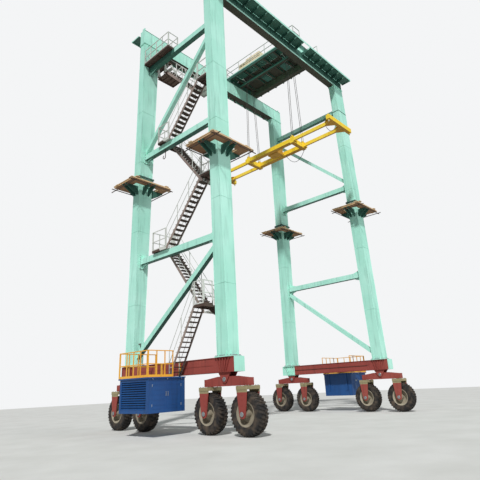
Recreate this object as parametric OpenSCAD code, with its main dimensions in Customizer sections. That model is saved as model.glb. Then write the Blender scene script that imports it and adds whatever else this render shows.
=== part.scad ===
// Rubber tyred gantry crane, in millimetres.
// X runs across the span, Y along the travel direction, Z up from the ground.
// Left is -X, front is -Y. The origin lies on the ground in the middle of the crane.

/* [Portal] */
// Width over the outer faces of the leg feet
portal_w = 12920; // [12400:10:13600]
// Depth over the outer faces of the leg feet
portal_d = 6970; // [6700:10:7400]
// Height of the sill top above the ground
sill_top = 2750; // [2700:5:2900]
// Height of a leg from sill to girder
leg_h = 18700; // [18500:10:19200]

/* [Legs] */
// Width of the leg foot across the span
foot_w = 550; // [500:5:620]
// Depth of the leg foot along the travel direction
foot_d = 655; // [600:5:720]
// Width of the leg head across the span
head_w = 1034; // [900:5:1100]
// Depth of the leg head along the travel direction
head_d = 431; // [400:5:460]
// How far the outer face leans out across the span at the head
leg_flare = 140; // [0:5:200]
// How far the outer face leans in along the travel direction at the head
leg_lean = 420; // [380:5:460]
// Height of the bolted leg joint above the ground
leg_joint_z = 12500; // [12350:10:12900]
// Thickness of a leg flange
flange_t = 40; // [25:1:60]
// How far a flange stands out from the leg
flange_out = 75; // [50:1:110]
// Height of a flange gusset
gusset_h = 230; // [150:5:300]
// Thickness of a flange gusset
gusset_t = 20; // [12:1:30]

/* [Sills] */
// Width of a sill
sill_w = 500; // [460:5:540]
// Depth of a sill
sill_h = 550; // [500:5:580]
// Length of a sill
sill_l = 7500; // [7300:10:7800]
// Ribs in the fan below each leg
fan_ribs = 5; // [3:1:7]
// How far a fan rib stands out from the sill
fan_out = 60; // [40:1:80]
// Thickness of a fan rib
fan_t = 24; // [16:1:40]

/* [Bracing] */
// Height of a tie beam
tie_h = 300; // [260:5:340]
// Width of a tie beam
tie_w = 280; // [240:5:300]
// Height of the first tie above the sill top
tie_first = 5030; // [4980:10:5100]
// Height from one tie to the next
tie_pitch = 5930; // [5900:10:5980]
// Depth of a diagonal
diagonal_h = 220; // [180:5:260]
// Width of a diagonal
diagonal_w = 220; // [180:5:240]
// Reach of a gusset along its tie
tie_gusset = 620; // [500:10:700]

/* [Girders] */
// Width of a girder
girder_w = 440; // [400:5:460]
// Height of a girder
girder_h = 960; // [900:5:1050]
// Overhang of a girder beyond the leg head
girder_over = 50; // [20:5:100]
// Width of the trolley rail
rail_w = 70; // [50:1:90]
// Height of the trolley rail
rail_h = 70; // [50:1:100]
// Width of the walkway beside a girder
walk_w = 715; // [600:5:760]
// Height of the walkway below the girder top
walk_drop = 300; // [250:5:350]
// Number of walkway bays
walk_bays = 19; // [15:1:21]
// Bay of the front walkway that has lost its plate, counted from the left
walk_missing = 11; // [5:1:14]

/* [Running gear] */
// Distance of an equaliser pivot from the middle along the travel direction
pivot_y = 3120; // [3050:5:3200]
// Height of an equaliser pivot above the ground
pivot_z = 1950; // [1930:5:1970]
// Distance from an equaliser pivot to each king pin
wheel_arm = 1000; // [950:5:1050]
// Diameter of a tyre
tyre_d = 1500; // [1450:5:1520]
// Width of a tyre
tyre_w = 450; // [400:5:480]
// Diameter of the wheel axle
axle_d = 120; // [100:1:140]
// Diameter of a king pin
king_d = 140; // [120:1:160]
// Diameter of an equaliser pivot pin
pivot_d = 120; // [100:1:140]
// Width of an equaliser beam
beam_w = 300; // [260:5:310]
// Height of an equaliser beam
beam_h = 350; // [340:5:370]

/* [Stairs] */
// Width of a flight
flight_w = 540; // [500:5:560]
// Rise of one step
step_rise = 190; // [170:1:215]
// Depth of a tread
tread_d = 220; // [190:5:240]
// Depth of a stringer
stringer_h = 200; // [160:5:220]
// Height of a handrail
hand_h = 1000; // [900:10:1010]
// Thickness of rails and posts
tube = 34; // [28:1:40]
// Thickness of a landing
deck_t = 70; // [60:1:90]

/* [Power units] */
// Length of a power unit across the span
unit_l = 1800; // [1700:10:1900]
// Width of a power unit along the travel direction
unit_w = 1900; // [1800:10:1960]
// Height of a power unit
unit_h = 1230; // [1150:10:1300]
// Height of the deck above the ground
unit_deck_z = 2150; // [2120:5:2170]
// Slats in the louvre
slats = 12; // [8:1:16]

/* [Scaffolds] */
// Length of a scaffold ring across the span
ring_l = 2400; // [2200:10:2500]
// Width of a scaffold ring along the travel direction
ring_w = 1850; // [1800:10:1900]
// Height of the boards above the ground
ring_z = 12000; // [11990:5:12050]
// Width of the boards on one side
board_w = 480; // [400:10:500]
// Thickness of a board
board_t = 45; // [40:1:50]

/* [Trolley] */
// Place of the trolley centre along the span
trolley_x = 2080; // [-2000:5:3100]
// Length of the trolley across the span
trolley_l = 2950; // [2900:10:3100]
// Distance of the trolley frame centre from the hoist centre
trolley_off = 295; // [200:5:340]
// Width of the ribbed trolley deck
deck_w = 850; // [700:10:860]
// Diameter of a trolley wheel
runner_d = 400; // [360:10:420]
// Height of a trolley frame beam
frame_h = 400; // [380:5:440]
// Width of a trolley end carriage
frame_w = 260; // [220:5:280]
// Width of the main trolley beam
main_w = 380; // [300:10:400]
// Height of a cabinet
cabinet_h = 700; // [500:10:900]

/* [Hoist] */
// Radius from a sheave axis to the rope
rope_turn = 300; // [280:5:320]
// Diameter of a hoist rope
rope_d = 28; // [20:1:32]
// Distance of a hoist cross member from the middle
hoist_y = 1850; // [1800:5:1950]
// Height of the spreader beams above the ground
spreader_z = 15900; // [15000:10:16500]
// Width of the spreader across the span
spreader_w = 2438; // [2400:2:2460]
// Distance of a twistlock row from the middle
lock_y = 4847; // [4700:1:5000]
// Distance between the twistlocks across the span
lock_x = 2259; // [2240:1:2280]
// Half length of the spreader main frame
frame_y = 2060; // [2030:10:2300]
// Height of a spreader beam
guide_h = 270; // [240:2:290]
// Width of a telescopic arm
arm_w = 112; // [100:1:120]
// Distance of a guide beam from the middle of the spreader
guide_x = 550; // [500:5:600]
// Height of a hoist lug above the spreader
lug_up = 230; // [180:5:280]

/* [Hidden] */
$fn = 48;
// Gap between a part and its seat
seat = 0.3;
// Radial clearance of a running pin
run_fit = 0.06;
// Side clearance of moving faces
side_gap = 8;

sill_z = sill_top - sill_h;
leg_top = sill_top + leg_h;
girder_z = leg_top + flange_t;
girder_top = girder_z + girder_h;
rail_top = girder_top + rail_h;
tie_zs = [for (i = [0:2]) sill_top + tie_first + i * tie_pitch];

mint = [0.66, 0.86, 0.78];
oxide = [0.54, 0.23, 0.20];
yellow = [0.96, 0.83, 0.23];
khaki = [0.60, 0.56, 0.40];
blue = [0.11, 0.34, 0.63];
timber = [0.72, 0.58, 0.40];
dark = [0.23, 0.18, 0.16];
grey = [0.62, 0.64, 0.62];
cream = [0.91, 0.86, 0.75];
black = [0.08, 0.08, 0.09];

// Shapes shared by all sub-parts

// A box between two bounds on each axis
module span(x, y, z)
    translate([x[0], y[0], z[0]]) cube([x[1] - x[0], y[1] - y[0], z[1] - z[0]]);

// A profile in the Y-Z plane, extruded between two X values
module along_x(x)
    translate([x[0], 0, 0]) rotate([90, 0, 90]) linear_extrude(x[1] - x[0]) children();

// A profile in the X-Z plane, extruded between two Y values
module along_y(y)
    translate([0, y[1], 0]) rotate([90, 0, 0]) linear_extrude(y[1] - y[0]) children();

// A round bar along X
module bar_x(x, y, z, d)
    translate([x[0], y, z]) rotate([0, 90, 0]) cylinder(h = x[1] - x[0], d = d);

// A round bar along Y
module bar_y(x, y, z, d)
    translate([x, y[1], z]) rotate([90, 0, 0]) cylinder(h = y[1] - y[0], d = d);

// Copies the shape into the quarter with the given signs
module to_corner(sx, sy)
    mirror([sx < 0 ? 1 : 0, 0, 0]) mirror([0, sy < 0 ? 1 : 0, 0]) children();

module all_corners()
    for (sx = [-1, 1], sy = [-1, 1]) to_corner(sx, sy) children();

// Flat railing with posts and two rails, drawn from u0 to u1 with its foot at v
module railing(u0, u1, v, h = hand_h, bay = 1150) {
    n = max(1, round((u1 - u0) / bay));
    for (i = [0:n]) translate([u0 + (u1 - u0 - tube) * i / n, v]) square([tube, h]);
    for (r = [0.5, 1]) translate([u0, v + h * r - tube]) square([u1 - u0, tube]);
    translate([u0, v]) square([u1 - u0, 90]);
}

// Legs, drawn in the quarter where X and Y are positive

function leg_part(z) = (z - sill_top) / leg_h;
function leg_xo(z) = portal_w / 2 + leg_flare * leg_part(z);
function leg_xi(z) = leg_xo(z) - foot_w - (head_w - foot_w) * leg_part(z);
function leg_yo(z) = portal_d / 2 - leg_lean * leg_part(z);
function leg_yi(z) = leg_yo(z) - foot_d - (head_d - foot_d) * leg_part(z);
function leg_xc(z) = (leg_xo(z) + leg_xi(z)) / 2;
function leg_yc(z) = (leg_yo(z) + leg_yi(z)) / 2;

module leg_body(z0, z1)
    intersection() {
        along_y([0, portal_d])
            polygon([[leg_xi(z0), z0], [leg_xo(z0), z0], [leg_xo(z1), z1], [leg_xi(z1), z1]]);
        along_x([0, portal_w])
            polygon([[leg_yi(z0), z0], [leg_yo(z0), z0], [leg_yo(z1), z1], [leg_yi(z1), z1]]);
    }

module leg_flange(z)
    span([leg_xi(z) - flange_out, leg_xo(z) + flange_out],
         [leg_yi(z) - flange_out, leg_yo(z) + flange_out], [z, z + flange_t]);

// Gussets between a flange face at z and the leg, above it or below it
module flange_gussets(z, dir) {
    zt = z + dir * gusset_h;
    for (s = [0.2, 0.8]) {
        x = leg_xi(z) + (leg_xo(z) - leg_xi(z)) * s;
        along_x([x - gusset_t / 2, x + gusset_t / 2])
            polygon([[leg_yi(z) - flange_out * 0.85, z], [leg_yo(z) + flange_out * 0.85, z],
                     [leg_yo(zt), zt], [leg_yi(zt), zt]]);
        y = leg_yi(z) + (leg_yo(z) - leg_yi(z)) * s;
        along_y([y - gusset_t / 2, y + gusset_t / 2])
            polygon([[leg_xi(z) - flange_out * 0.85, z], [leg_xo(z) + flange_out * 0.85, z],
                     [leg_xo(zt), zt], [leg_xi(zt), zt]]);
    }
}

module legs_lower()
    color(mint) all_corners() {
        leg_body(sill_top, leg_joint_z);
        leg_flange(sill_top);
        flange_gussets(sill_top + flange_t, 1);
        leg_flange(leg_joint_z - flange_t);
        flange_gussets(leg_joint_z - flange_t, -1);
    }

module legs_upper()
    color(mint) all_corners() {
        leg_body(leg_joint_z, leg_top);
        leg_flange(leg_joint_z);
        flange_gussets(leg_joint_z + flange_t, 1);
        span([leg_xi(leg_top) - 20, leg_xo(leg_top) + girder_over],
             [leg_yc(leg_top) - girder_w / 2 - 30, leg_yc(leg_top) + girder_w / 2 + 30],
             [leg_top, leg_top + flange_t]);
        flange_gussets(leg_top, -1);
    }

// Sills with their rib fans, pivot brackets and pivot pins

sill_xc = leg_xc(sill_top);
sill_x = [sill_xc - sill_w / 2, sill_xc + sill_w / 2];
sill_plate = 20;
lug_t = 35;
lug_x = beam_w / 2 + 2 * side_gap;
lug_r = 135;
lug_top = 330;

module fan_side(x)
    for (i = [0:fan_ribs - 1]) {
        k = i / (fan_ribs - 1) - 0.5;
        yt = leg_yc(sill_top) + k * foot_d;
        yb = pivot_y + k * lug_top;
        along_x(x) polygon([[yt - fan_t / 2, sill_top - sill_plate], [yt + fan_t / 2, sill_top - sill_plate],
                            [yb + fan_t / 2, sill_z + sill_plate], [yb - fan_t / 2, sill_z + sill_plate]]);
    }

module pivot_lug(x)
    along_x(x) {
        translate([pivot_y, pivot_z]) circle(r = lug_r);
        polygon([[pivot_y - lug_top, sill_z + 1], [pivot_y + lug_top, sill_z + 1],
                 [pivot_y + lug_r * 0.94, pivot_z - lug_r * 0.34],
                 [pivot_y - lug_r * 0.94, pivot_z - lug_r * 0.34]]);
    }

module sill(s)
    to_corner(s, 1) {
        span(sill_x, [-sill_l / 2, sill_l / 2], [sill_z, sill_top]);
        for (z = [sill_z, sill_top - sill_plate])
            span([sill_x[0] - 30, sill_x[1] + 30], [-sill_l / 2, sill_l / 2], [z, z + sill_plate]);
        span([sill_x[0] - 12, sill_x[1] + 12], [-leg_yi(sill_top) + 300, leg_yi(sill_top) - 300],
             [sill_z + sill_h / 2 - 10, sill_z + sill_h / 2 + 10]);
        for (sy = [-1, 1]) mirror([0, sy < 0 ? 1 : 0, 0]) {
            span([sill_x[0] - 30, sill_x[1] + 30], [sill_l / 2 - sill_plate, sill_l / 2], [sill_z, sill_top]);
            fan_side([sill_x[1] - 5, sill_x[1] + fan_out]);
            fan_side([sill_x[0] - fan_out, sill_x[0] + 5]);
            pivot_lug([sill_xc + lug_x, sill_xc + lug_x + lug_t]);
            pivot_lug([sill_xc - lug_x - lug_t, sill_xc - lug_x]);
            bar_x([sill_xc - lug_x - lug_t - 15, sill_xc + lug_x + lug_t + 15], pivot_y, pivot_z, pivot_d);
        }
    }

module sills()
    color(oxide) for (s = [-1, 1]) sill(s);

// Ties and diagonals between the legs of each side

function tie_y(z) = leg_yi(z) - seat;

module tie(z)
    along_x([leg_xc(z) - tie_w / 2, leg_xc(z) + tie_w / 2])
        polygon([for (p = [[-1, -1], [1, -1], [1, 1], [-1, 1]])
            [p[0] * tie_y(z + p[1] * tie_h / 2), z + p[1] * tie_h / 2]]);

// Gusset and end plate of a tie, up is how far they rise above its centre
module tie_end(z, up) {
    down = tie_h + 60;
    along_x([leg_xc(z) - 15, leg_xc(z) + 15])
        polygon([[tie_y(z - down), z - down], [tie_y(z + up), z + up],
                 [tie_y(z) - tie_gusset, z + tie_h / 2], [tie_y(z) - tie_gusset, z - tie_h / 2]]);
    along_x([leg_xc(z) - tie_w / 2 - 30, leg_xc(z) + tie_w / 2 + 30])
        polygon([[tie_y(z - down), z - down], [tie_y(z + up), z + up],
                 [tie_y(z + up) - 30, z + up], [tie_y(z - down) - 30, z - down]]);
}

// A diagonal from the rear leg at z0 to the front leg at z1
module diagonal(z0, z1) {
    run = leg_yi(z0) + leg_yi(z1);
    v = diagonal_h / cos(atan((z1 - z0) / run)) / 2;
    xc = leg_xc((z0 + z1) / 2);
    along_x([xc - diagonal_w / 2, xc + diagonal_w / 2])
        polygon([[tie_y(z0 - v), z0 - v], [tie_y(z0 + v), z0 + v],
                 [-tie_y(z1 + v), z1 + v], [-tie_y(z1 - v), z1 - v]]);
}

diagonal_rise = tie_h / 2 + diagonal_h;

module side_bracing(s)
    to_corner(s, s < 0 ? 1 : -1) {
        for (z = tie_zs) {
            tie(z);
            for (sy = [-1, 1]) mirror([0, sy < 0 ? 1 : 0, 0])
                tie_end(z, z == tie_zs[2] ? tie_h / 2 - 2 : tie_h + 60);
        }
        diagonal(sill_top + 450, tie_zs[0] - diagonal_rise);
        diagonal(tie_zs[1] + diagonal_rise, tie_zs[2] - diagonal_rise - 200);
    }

module bracing()
    color(mint) for (s = [-1, 1]) side_bracing(s);

// Girders with rail, top and bottom flange, stiffeners and hanging lugs

girder_y = leg_yc(leg_top);
girder_x = leg_xo(leg_top) + girder_over;

module girder(s)
    to_corner(1, s) {
        span([-girder_x, girder_x], [girder_y - girder_w / 2 + 20, girder_y + girder_w / 2 - 20],
             [girder_z, girder_top]);
        for (z = [girder_z, girder_top - 20])
            span([-girder_x, girder_x], [girder_y - girder_w / 2, girder_y + girder_w / 2], [z, z + 20]);
        span([-girder_x + 60, girder_x - 60], [girder_y - rail_w / 2, girder_y + rail_w / 2],
             [girder_top, rail_top]);
        for (i = [-4:4])
            span([i * 1480 - 8, i * 1480 + 8], [girder_y - girder_w / 2, girder_y + girder_w / 2],
                 [girder_z, girder_top]);
        for (x = [-girder_x + 60, girder_x - 120])
            span([x, x + 60], [girder_y - 110, girder_y + 110], [girder_top, rail_top + 180]);

    }

module girders()
    color(mint) for (s = [-1, 1]) girder(s);

// Walkways outside the girders

walk_z = girder_top - walk_drop;
walk_y0 = girder_y + girder_w / 2;
walk_x = girder_x + 150;
walk_pitch = 2 * walk_x / walk_bays;

module walk_bracket(x)
    along_x([x - 8, x + 8])
        polygon([[walk_y0, walk_z - 6], [walk_y0 + walk_w - 6, walk_z - 6],
                 [walk_y0 + walk_w - 6, walk_z - 76], [walk_y0, walk_z - 260]]);

module walkway(s, missing)
    to_corner(1, s) {
        for (r = missing < 0 ? [[0, walk_bays]] : [[0, missing], [missing + 1, walk_bays]])
            span([-walk_x + r[0] * walk_pitch, -walk_x + r[1] * walk_pitch],
                 [walk_y0, walk_y0 + walk_w], [walk_z - 8, walk_z]);
        for (i = [0:walk_bays]) {
            x = -walk_x + 8 + i * (walk_pitch - 16 / walk_bays);
            if (abs(x) < girder_x) walk_bracket(x);
            else span([x - 8, x + 8], [walk_y0, walk_y0 + walk_w - 6], [walk_z - 76, walk_z - 6]);
        }
        span([-walk_x - 2, walk_x + 2], [walk_y0 + walk_w - 12, walk_y0 + walk_w],
             [walk_z - 80, walk_z + 60]);
    }

module walkways()
    color(mint) {
        walkway(-1, walk_missing);
        walkway(1, -1);
    }

// Scaffold rings of boards on brackets round each leg

ring_deck = ring_z - board_t;
bracket_t = 50;
bracket_h = 480;
ring_xc = leg_xc(ring_z);
ring_yc = leg_yc(ring_z);

// Boards of one side, grooved between the planks
module boards(l, w) {
    difference() {
        cube([l, w, board_t]);
        for (i = [1, 2]) translate([-1, w * i / 3 - 6, board_t - 12]) cube([l + 2, 12, 13]);
    }
}

function ring_foot(z) = z - bracket_h;

module scaffold() {
    zb = ring_deck - seat;
    zf = ring_foot(zb);
    for (s = [-1, 1]) {
        translate([ring_xc - ring_l / 2, ring_yc + s * (ring_w - board_w) / 2 - board_w / 2, ring_deck])
            boards(ring_l, board_w);
        translate([ring_xc + s * (ring_l - board_w) / 2 + board_w / 2, ring_yc - ring_w / 2 + board_w + 10,
                   ring_deck]) rotate([0, 0, 90]) boards(ring_w - 2 * board_w - 20, board_w);
        for (k = [-0.3, 0.3]) {
            x = ring_xc + k * foot_w;
            y0 = (s > 0 ? leg_yo(zb) : leg_yi(zb)) + s * seat;
            yf = (s > 0 ? leg_yo(zf) : leg_yi(zf)) + s * seat;
            along_x([x - bracket_t / 2, x + bracket_t / 2])
                polygon([[y0, zb], [ring_yc + s * ring_w / 2, zb], [ring_yc + s * ring_w / 2, zb - 60],
                         [yf + s * 90, zf], [yf, zf]]);
            y = ring_yc + k * head_d;
            x0 = (s > 0 ? leg_xo(zb) : leg_xi(zb)) + s * seat;
            xf = (s > 0 ? leg_xo(zf) : leg_xi(zf)) + s * seat;
            along_y([y - bracket_t / 2, y + bracket_t / 2])
                polygon([[x0, zb], [ring_xc + s * ring_l / 2, zb], [ring_xc + s * ring_l / 2, zb - 60],
                         [xf + s * 90, zf], [xf, zf]]);
        }
    }
}

module scaffolds()
    color(timber) all_corners() scaffold();

// Running gear, drawn about a pivot or a king pin

beam_top = pivot_z + 100;
beam_bottom = beam_top - beam_h;
beam_l = wheel_arm + 140;
crown_h = 130;
crown_top = beam_bottom - 10;
crown_x = 380;
crown_y = 250;
axle_z = tyre_d / 2;
hub_x = tyre_w / 2 + 70;
cheek_x = hub_x + 30;
cheek_t = 40;

module equaliser(sx, sy) {
    y0 = sy * pivot_y;
    x0 = sx * sill_xc;
    color(oxide) difference() {
        union() {
            along_x([x0 - beam_w / 2, x0 + beam_w / 2])
                polygon([[y0 - beam_l, beam_bottom], [y0 + beam_l, beam_bottom],
                         [y0 + beam_l, beam_top - 90], [y0 + 420, beam_top], [y0 - 420, beam_top],
                         [y0 - beam_l, beam_top - 90]]);
            bar_x([x0 - lug_x + side_gap, x0 + lug_x - side_gap], y0, pivot_z, 2 * lug_r);
            for (s = [-1, 1])
                span([x0 - beam_w / 2 - 20, x0 + beam_w / 2 + 20],
                     [y0 + s * beam_l - 12, y0 + s * beam_l + 12], [beam_bottom, beam_top - 80]);
        }
        bar_x([x0 - beam_w, x0 + beam_w], y0, pivot_z, pivot_d + 2 * run_fit);
        for (s = [-1, 1])
            translate([x0, y0 + s * wheel_arm, beam_bottom - 1])
                cylinder(h = king_l + 11, d = king_d + 2 * run_fit);
    }
}

king_l = 200;

// The fork of one wheel, e is 1 for the outer wheel and -1 for the inner
module fork(sx, sy, e) {
    x0 = sx * sill_xc;
    y0 = sy * (pivot_y + e * wheel_arm);
    color(khaki) translate([x0, y0, 0]) {
        span([-crown_x, crown_x], [-crown_y, crown_y], [crown_top - crown_h, crown_top]);
        translate([0, 0, crown_top - 1]) cylinder(h = beam_bottom - crown_top + 1 - seat, d = 1.9 * king_d);
        translate([0, 0, crown_top]) cylinder(h = king_l + 10, d = king_d);
        for (s = [-1, 1]) {
            xs = s > 0 ? [cheek_x, cheek_x + cheek_t] : [-cheek_x - cheek_t, -cheek_x];
            along_x(xs) {
                translate([0, axle_z]) circle(r = 150);
                polygon([[-crown_y, crown_top - 10], [crown_y, crown_top - 10],
                         [crown_y, crown_top - crown_h], [141, axle_z - 51], [-141, axle_z - 51],
                         [-crown_y, crown_top - crown_h]]);
            }
            bar_x(s > 0 ? [hub_x + side_gap, cheek_x + 1] : [-cheek_x - 1, -hub_x - side_gap], 0, axle_z,
                  1.6 * axle_d);
        }
        bar_x([-cheek_x - cheek_t - 25, cheek_x + cheek_t + 25], 0, axle_z, axle_d);
    }
}

// Wheel section in radius and width: tyre with rounded shoulders, dished rim and hub
function wheel_outline() = let (r = tyre_d / 2, w = tyre_w / 2, b = axle_d / 2 + run_fit) [
    [b, -hub_x], [b, hub_x], [b + 70, hub_x], [b + 75, w * 0.45], [r * 0.40, w * 0.30], [r * 0.47, w * 0.75],
    [r * 0.52, w * 0.92], [r * 0.56, w], [r * 0.72, w * 1.04], [r * 0.87, w * 1.0], [r * 0.955, w * 0.86],
    [r * 0.985, w * 0.74], [r, w * 0.66], [r, w * 0.42], [r * 0.975, w * 0.40], [r * 0.975, w * 0.33],
    [r, w * 0.31], [r, w * 0.06], [r * 0.975, w * 0.04],
    [r * 0.975, -w * 0.04], [r, -w * 0.06], [r, -w * 0.31], [r * 0.975, -w * 0.33], [r * 0.975, -w * 0.40],
    [r, -w * 0.42], [r, -w * 0.66], [r * 0.985, -w * 0.74], [r * 0.955, -w * 0.86], [r * 0.87, -w * 1.0],
    [r * 0.72, -w * 1.04], [r * 0.56, -w], [r * 0.52, -w * 0.92], [r * 0.47, -w * 0.75],
    [r * 0.40, -w * 0.05], [b + 75, -w * 0.10], [b + 70, -hub_x]];

module wheel(sx, sy, e)
    color(black) translate([sx * sill_xc, sy * (pivot_y + e * wheel_arm), axle_z])
        rotate([0, 90, 0]) difference() {
            rotate_extrude() polygon(wheel_outline());
            for (i = [0:7]) rotate([0, 0, i * 45]) translate([tyre_d * 0.155, 0, -tyre_w])
                cylinder(h = 2 * tyre_w, d = 60);
        }

// Stairs on the left side

// Treads and two side panels from (y0, z0) up to (y1, z1) between two X values
module flight(x, y0, z0, y1, z1, foot = deck_t) {
    n = ceil((z1 - z0) / step_rise);
    rise = (z1 - z0) / n;
    going = (y1 - y0) / n;
    dir = sign(going);
    color(dark) for (i = [1:n - 1]) {
        y = y0 + (i - 0.5) * going + dir * 30;
        z = z0 + i * rise;
        span([x[0] + panel_t + seat, x[1] - panel_t - seat], [y - tread_d / 2, y + tread_d / 2],
             [z - tread_t, z]);
    }
    color(grey) for (xs = [[x[0], x[0] + panel_t], [x[1] - panel_t, x[1]]])
        along_x(xs) translate([y0, 0]) mirror([dir < 0 ? 1 : 0, 0])
            flight_side(abs(y1 - y0), z0, z1, foot);
}

// Stringer, posts and rails of a flight, drawn from 0 to its run
module flight_side(run, z0, z1, foot) {
    slope = (z1 - z0) / run;
    low = stringer_h - nose;
    posts = max(2, round(run / 900));
    polygon([[0, z0 - foot], [(low - foot) / slope, z0 - foot], [run, z1 - low], [run, z1 + nose],
             [0, z0 + nose]]);
    for (r = [0.5, 1])
        polygon([[0, z0 + hand_h * r - tube], [run, z1 + hand_h * r - tube],
                 [run, z1 + hand_h * r], [0, z0 + hand_h * r]]);
    for (i = [0:posts]) {
        u = (run - tube) * i / posts;
        polygon([[u, z0 + u * slope], [u + tube, z0 + (u + tube) * slope],
                 [u + tube, z0 + (u + tube) * slope + hand_h - 5], [u, z0 + u * slope + hand_h - 5]]);
    }
}

// Landing plate with an edge frame and ribs below, top at z
module landing(x, y, z) {
    e = 12;
    color(dark) {
        span(x, y, [z - 8, z]);
        for (xs = [[x[0], x[0] + e], [x[1] - e, x[1]]]) span(xs, y, [z - deck_t, z]);
        for (ys = [[y[0], y[0] + e], [y[1] - e, y[1]]]) span(x, ys, [z - deck_t, z]);
        n = max(1, round((x[1] - x[0]) / 260));
        for (i = [1:n - 1])
            span([x[0] + (x[1] - x[0]) * i / n - 5, x[0] + (x[1] - x[0]) * i / n + 5], y, [z - deck_t, z]);
    }
}

// Side panels and treads of a flight
panel_t = 16;
tread_t = 30;
nose = 40;

// Places of the stairs, as bounds on X
outer_x = [-leg_xc(tie_zs[1]) - flight_w / 2 - 40, -leg_xc(tie_zs[1]) + flight_w / 2 - 40];
inner_x = [outer_x[1] + 60, outer_x[1] + 60 + flight_w + 100];
first_x = [-portal_w / 2 - 40 - flight_w - 60, -portal_w / 2 - 100];

// Heights of the landings
land_1 = sill_top + 2000;
land_2 = tie_zs[0] + tie_h / 2 + deck_t;
land_3 = land_2 + 2850;
land_4 = tie_zs[1] + tie_h / 2 + deck_t;
land_5 = land_4 + 2370;
land_6 = tie_zs[2] - 640;
land_7 = tie_zs[2] + tie_h / 2 + deck_t;

// Ends of the flights along Y
front_1 = -2200;
front_1i = -1450;
mid_2 = 500;
mid_2i = 1050;
front_3 = -2000;
front_3i = -1600;
mid_4 = 400;
mid_4i = 900;
front_5 = -1850;
front_5i = -1100;
rear_6 = 1370;

// Front edge of a landing held by the front leg, and of the railing on it
function leg_edge(z) = -leg_yi(z) + seat;
function rail_edge(z) = -leg_yi(z + hand_h) + side_gap;
function rail_start(z) = -leg_xi(z + hand_h) + 20;

module stair_1() {
    z = land_1;
    ye = leg_edge(z);
    flight(first_x, -unit_w / 2 + 280, unit_deck_z + seat, front_1, z, 0);
    landing([first_x[0], inner_x[0]], [ye, front_1 - seat], z);
    landing([inner_x[0] + seat, inner_x[1]], [ye, front_1i], z);
    color(grey) {
        along_x([first_x[0], first_x[0] + tube]) railing(rail_edge(z), front_1 - 40, z + seat);
        along_x([inner_x[1] - tube, inner_x[1]]) railing(rail_edge(z), front_1i - 40, z + seat);
        along_y([front_1 - tube - seat, front_1 - seat]) railing(first_x[1] + 20, inner_x[0] - 20, z + seat);
        along_y([rail_edge(z), rail_edge(z) + tube]) railing(first_x[0] + tube + 6, first_x[1], z + seat);
        along_y([rail_edge(z), rail_edge(z) + tube]) railing(rail_start(z), inner_x[1] - tube - 6, z + seat);
        landing_knee(ye, z);
    }
}

// Bracket below a landing on the front leg
module landing_knee(ye, z)
    for (x = [outer_x[0] + 120, outer_x[1] - 60])
        along_x([x, x + 20])
            polygon([[ye, z - deck_t - seat], [ye + 560, z - deck_t - seat],
                     [ye, z - deck_t - 420]]);

module mid_landing(z, ym, ymi, ye) {
    landing([outer_x[0], inner_x[0]], [ym + seat, ye], z);
    landing([inner_x[0] + seat, inner_x[1]], [ymi + seat, ye], z);
    color(grey) {
        along_x([outer_x[0], outer_x[0] + tube]) railing(ym + 60, ye, z + seat);
        along_y([ye - tube, ye]) railing(outer_x[0] + tube + 6, inner_x[1] - tube - 6, z + seat, bay = 380);
        along_x([inner_x[1] - tube, inner_x[1]]) railing(ymi + 60, ye, z + seat);
        along_y([ym + 60, ym + 60 + tube]) railing(inner_x[0] - 120, inner_x[0] - 20, z + seat);
    }
}

module leg_landing(z, ym, ymi) {
    ye = leg_edge(z);
    landing([outer_x[0], inner_x[0]], [ye, ym - seat], z);
    landing([inner_x[0] + seat, inner_x[1]], [ye, ymi], z);
    color(grey) {
        along_x([outer_x[0], outer_x[0] + tube]) railing(rail_edge(z), ym - 40, z + seat);
        along_x([inner_x[1] - tube, inner_x[1]]) railing(rail_edge(z), ymi - 40, z + seat);
        along_y([rail_edge(z), rail_edge(z) + tube]) railing(rail_start(z), inner_x[1] - tube - 6, z + seat);
        landing_knee(ye, z);
    }
}

module stair_2() {
    flight(inner_x, front_1i + seat, land_1, mid_2i, land_2);
    mid_landing(land_2, mid_2, mid_2i, 1600);
}

module stair_3() {
    flight(outer_x, mid_2, land_2, front_3, land_3);
    leg_landing(land_3, front_3, front_3i);
}

module stair_4() {
    flight(inner_x, front_3i + seat, land_3, mid_4i, land_4);
    mid_landing(land_4, mid_4, mid_4i, 1330);
}

module stair_5() {
    flight(outer_x, mid_4, land_4, front_5, land_5);
    leg_landing(land_5, front_5, front_5i);
}

top_x = [-leg_xc(tie_zs[2]) - 480, -leg_xc(tie_zs[2]) + 640];
small_x = [inner_x[0], inner_x[1] + 500];
small_y = [rear_6, rear_6 + 900];
short_going = 220;

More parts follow.
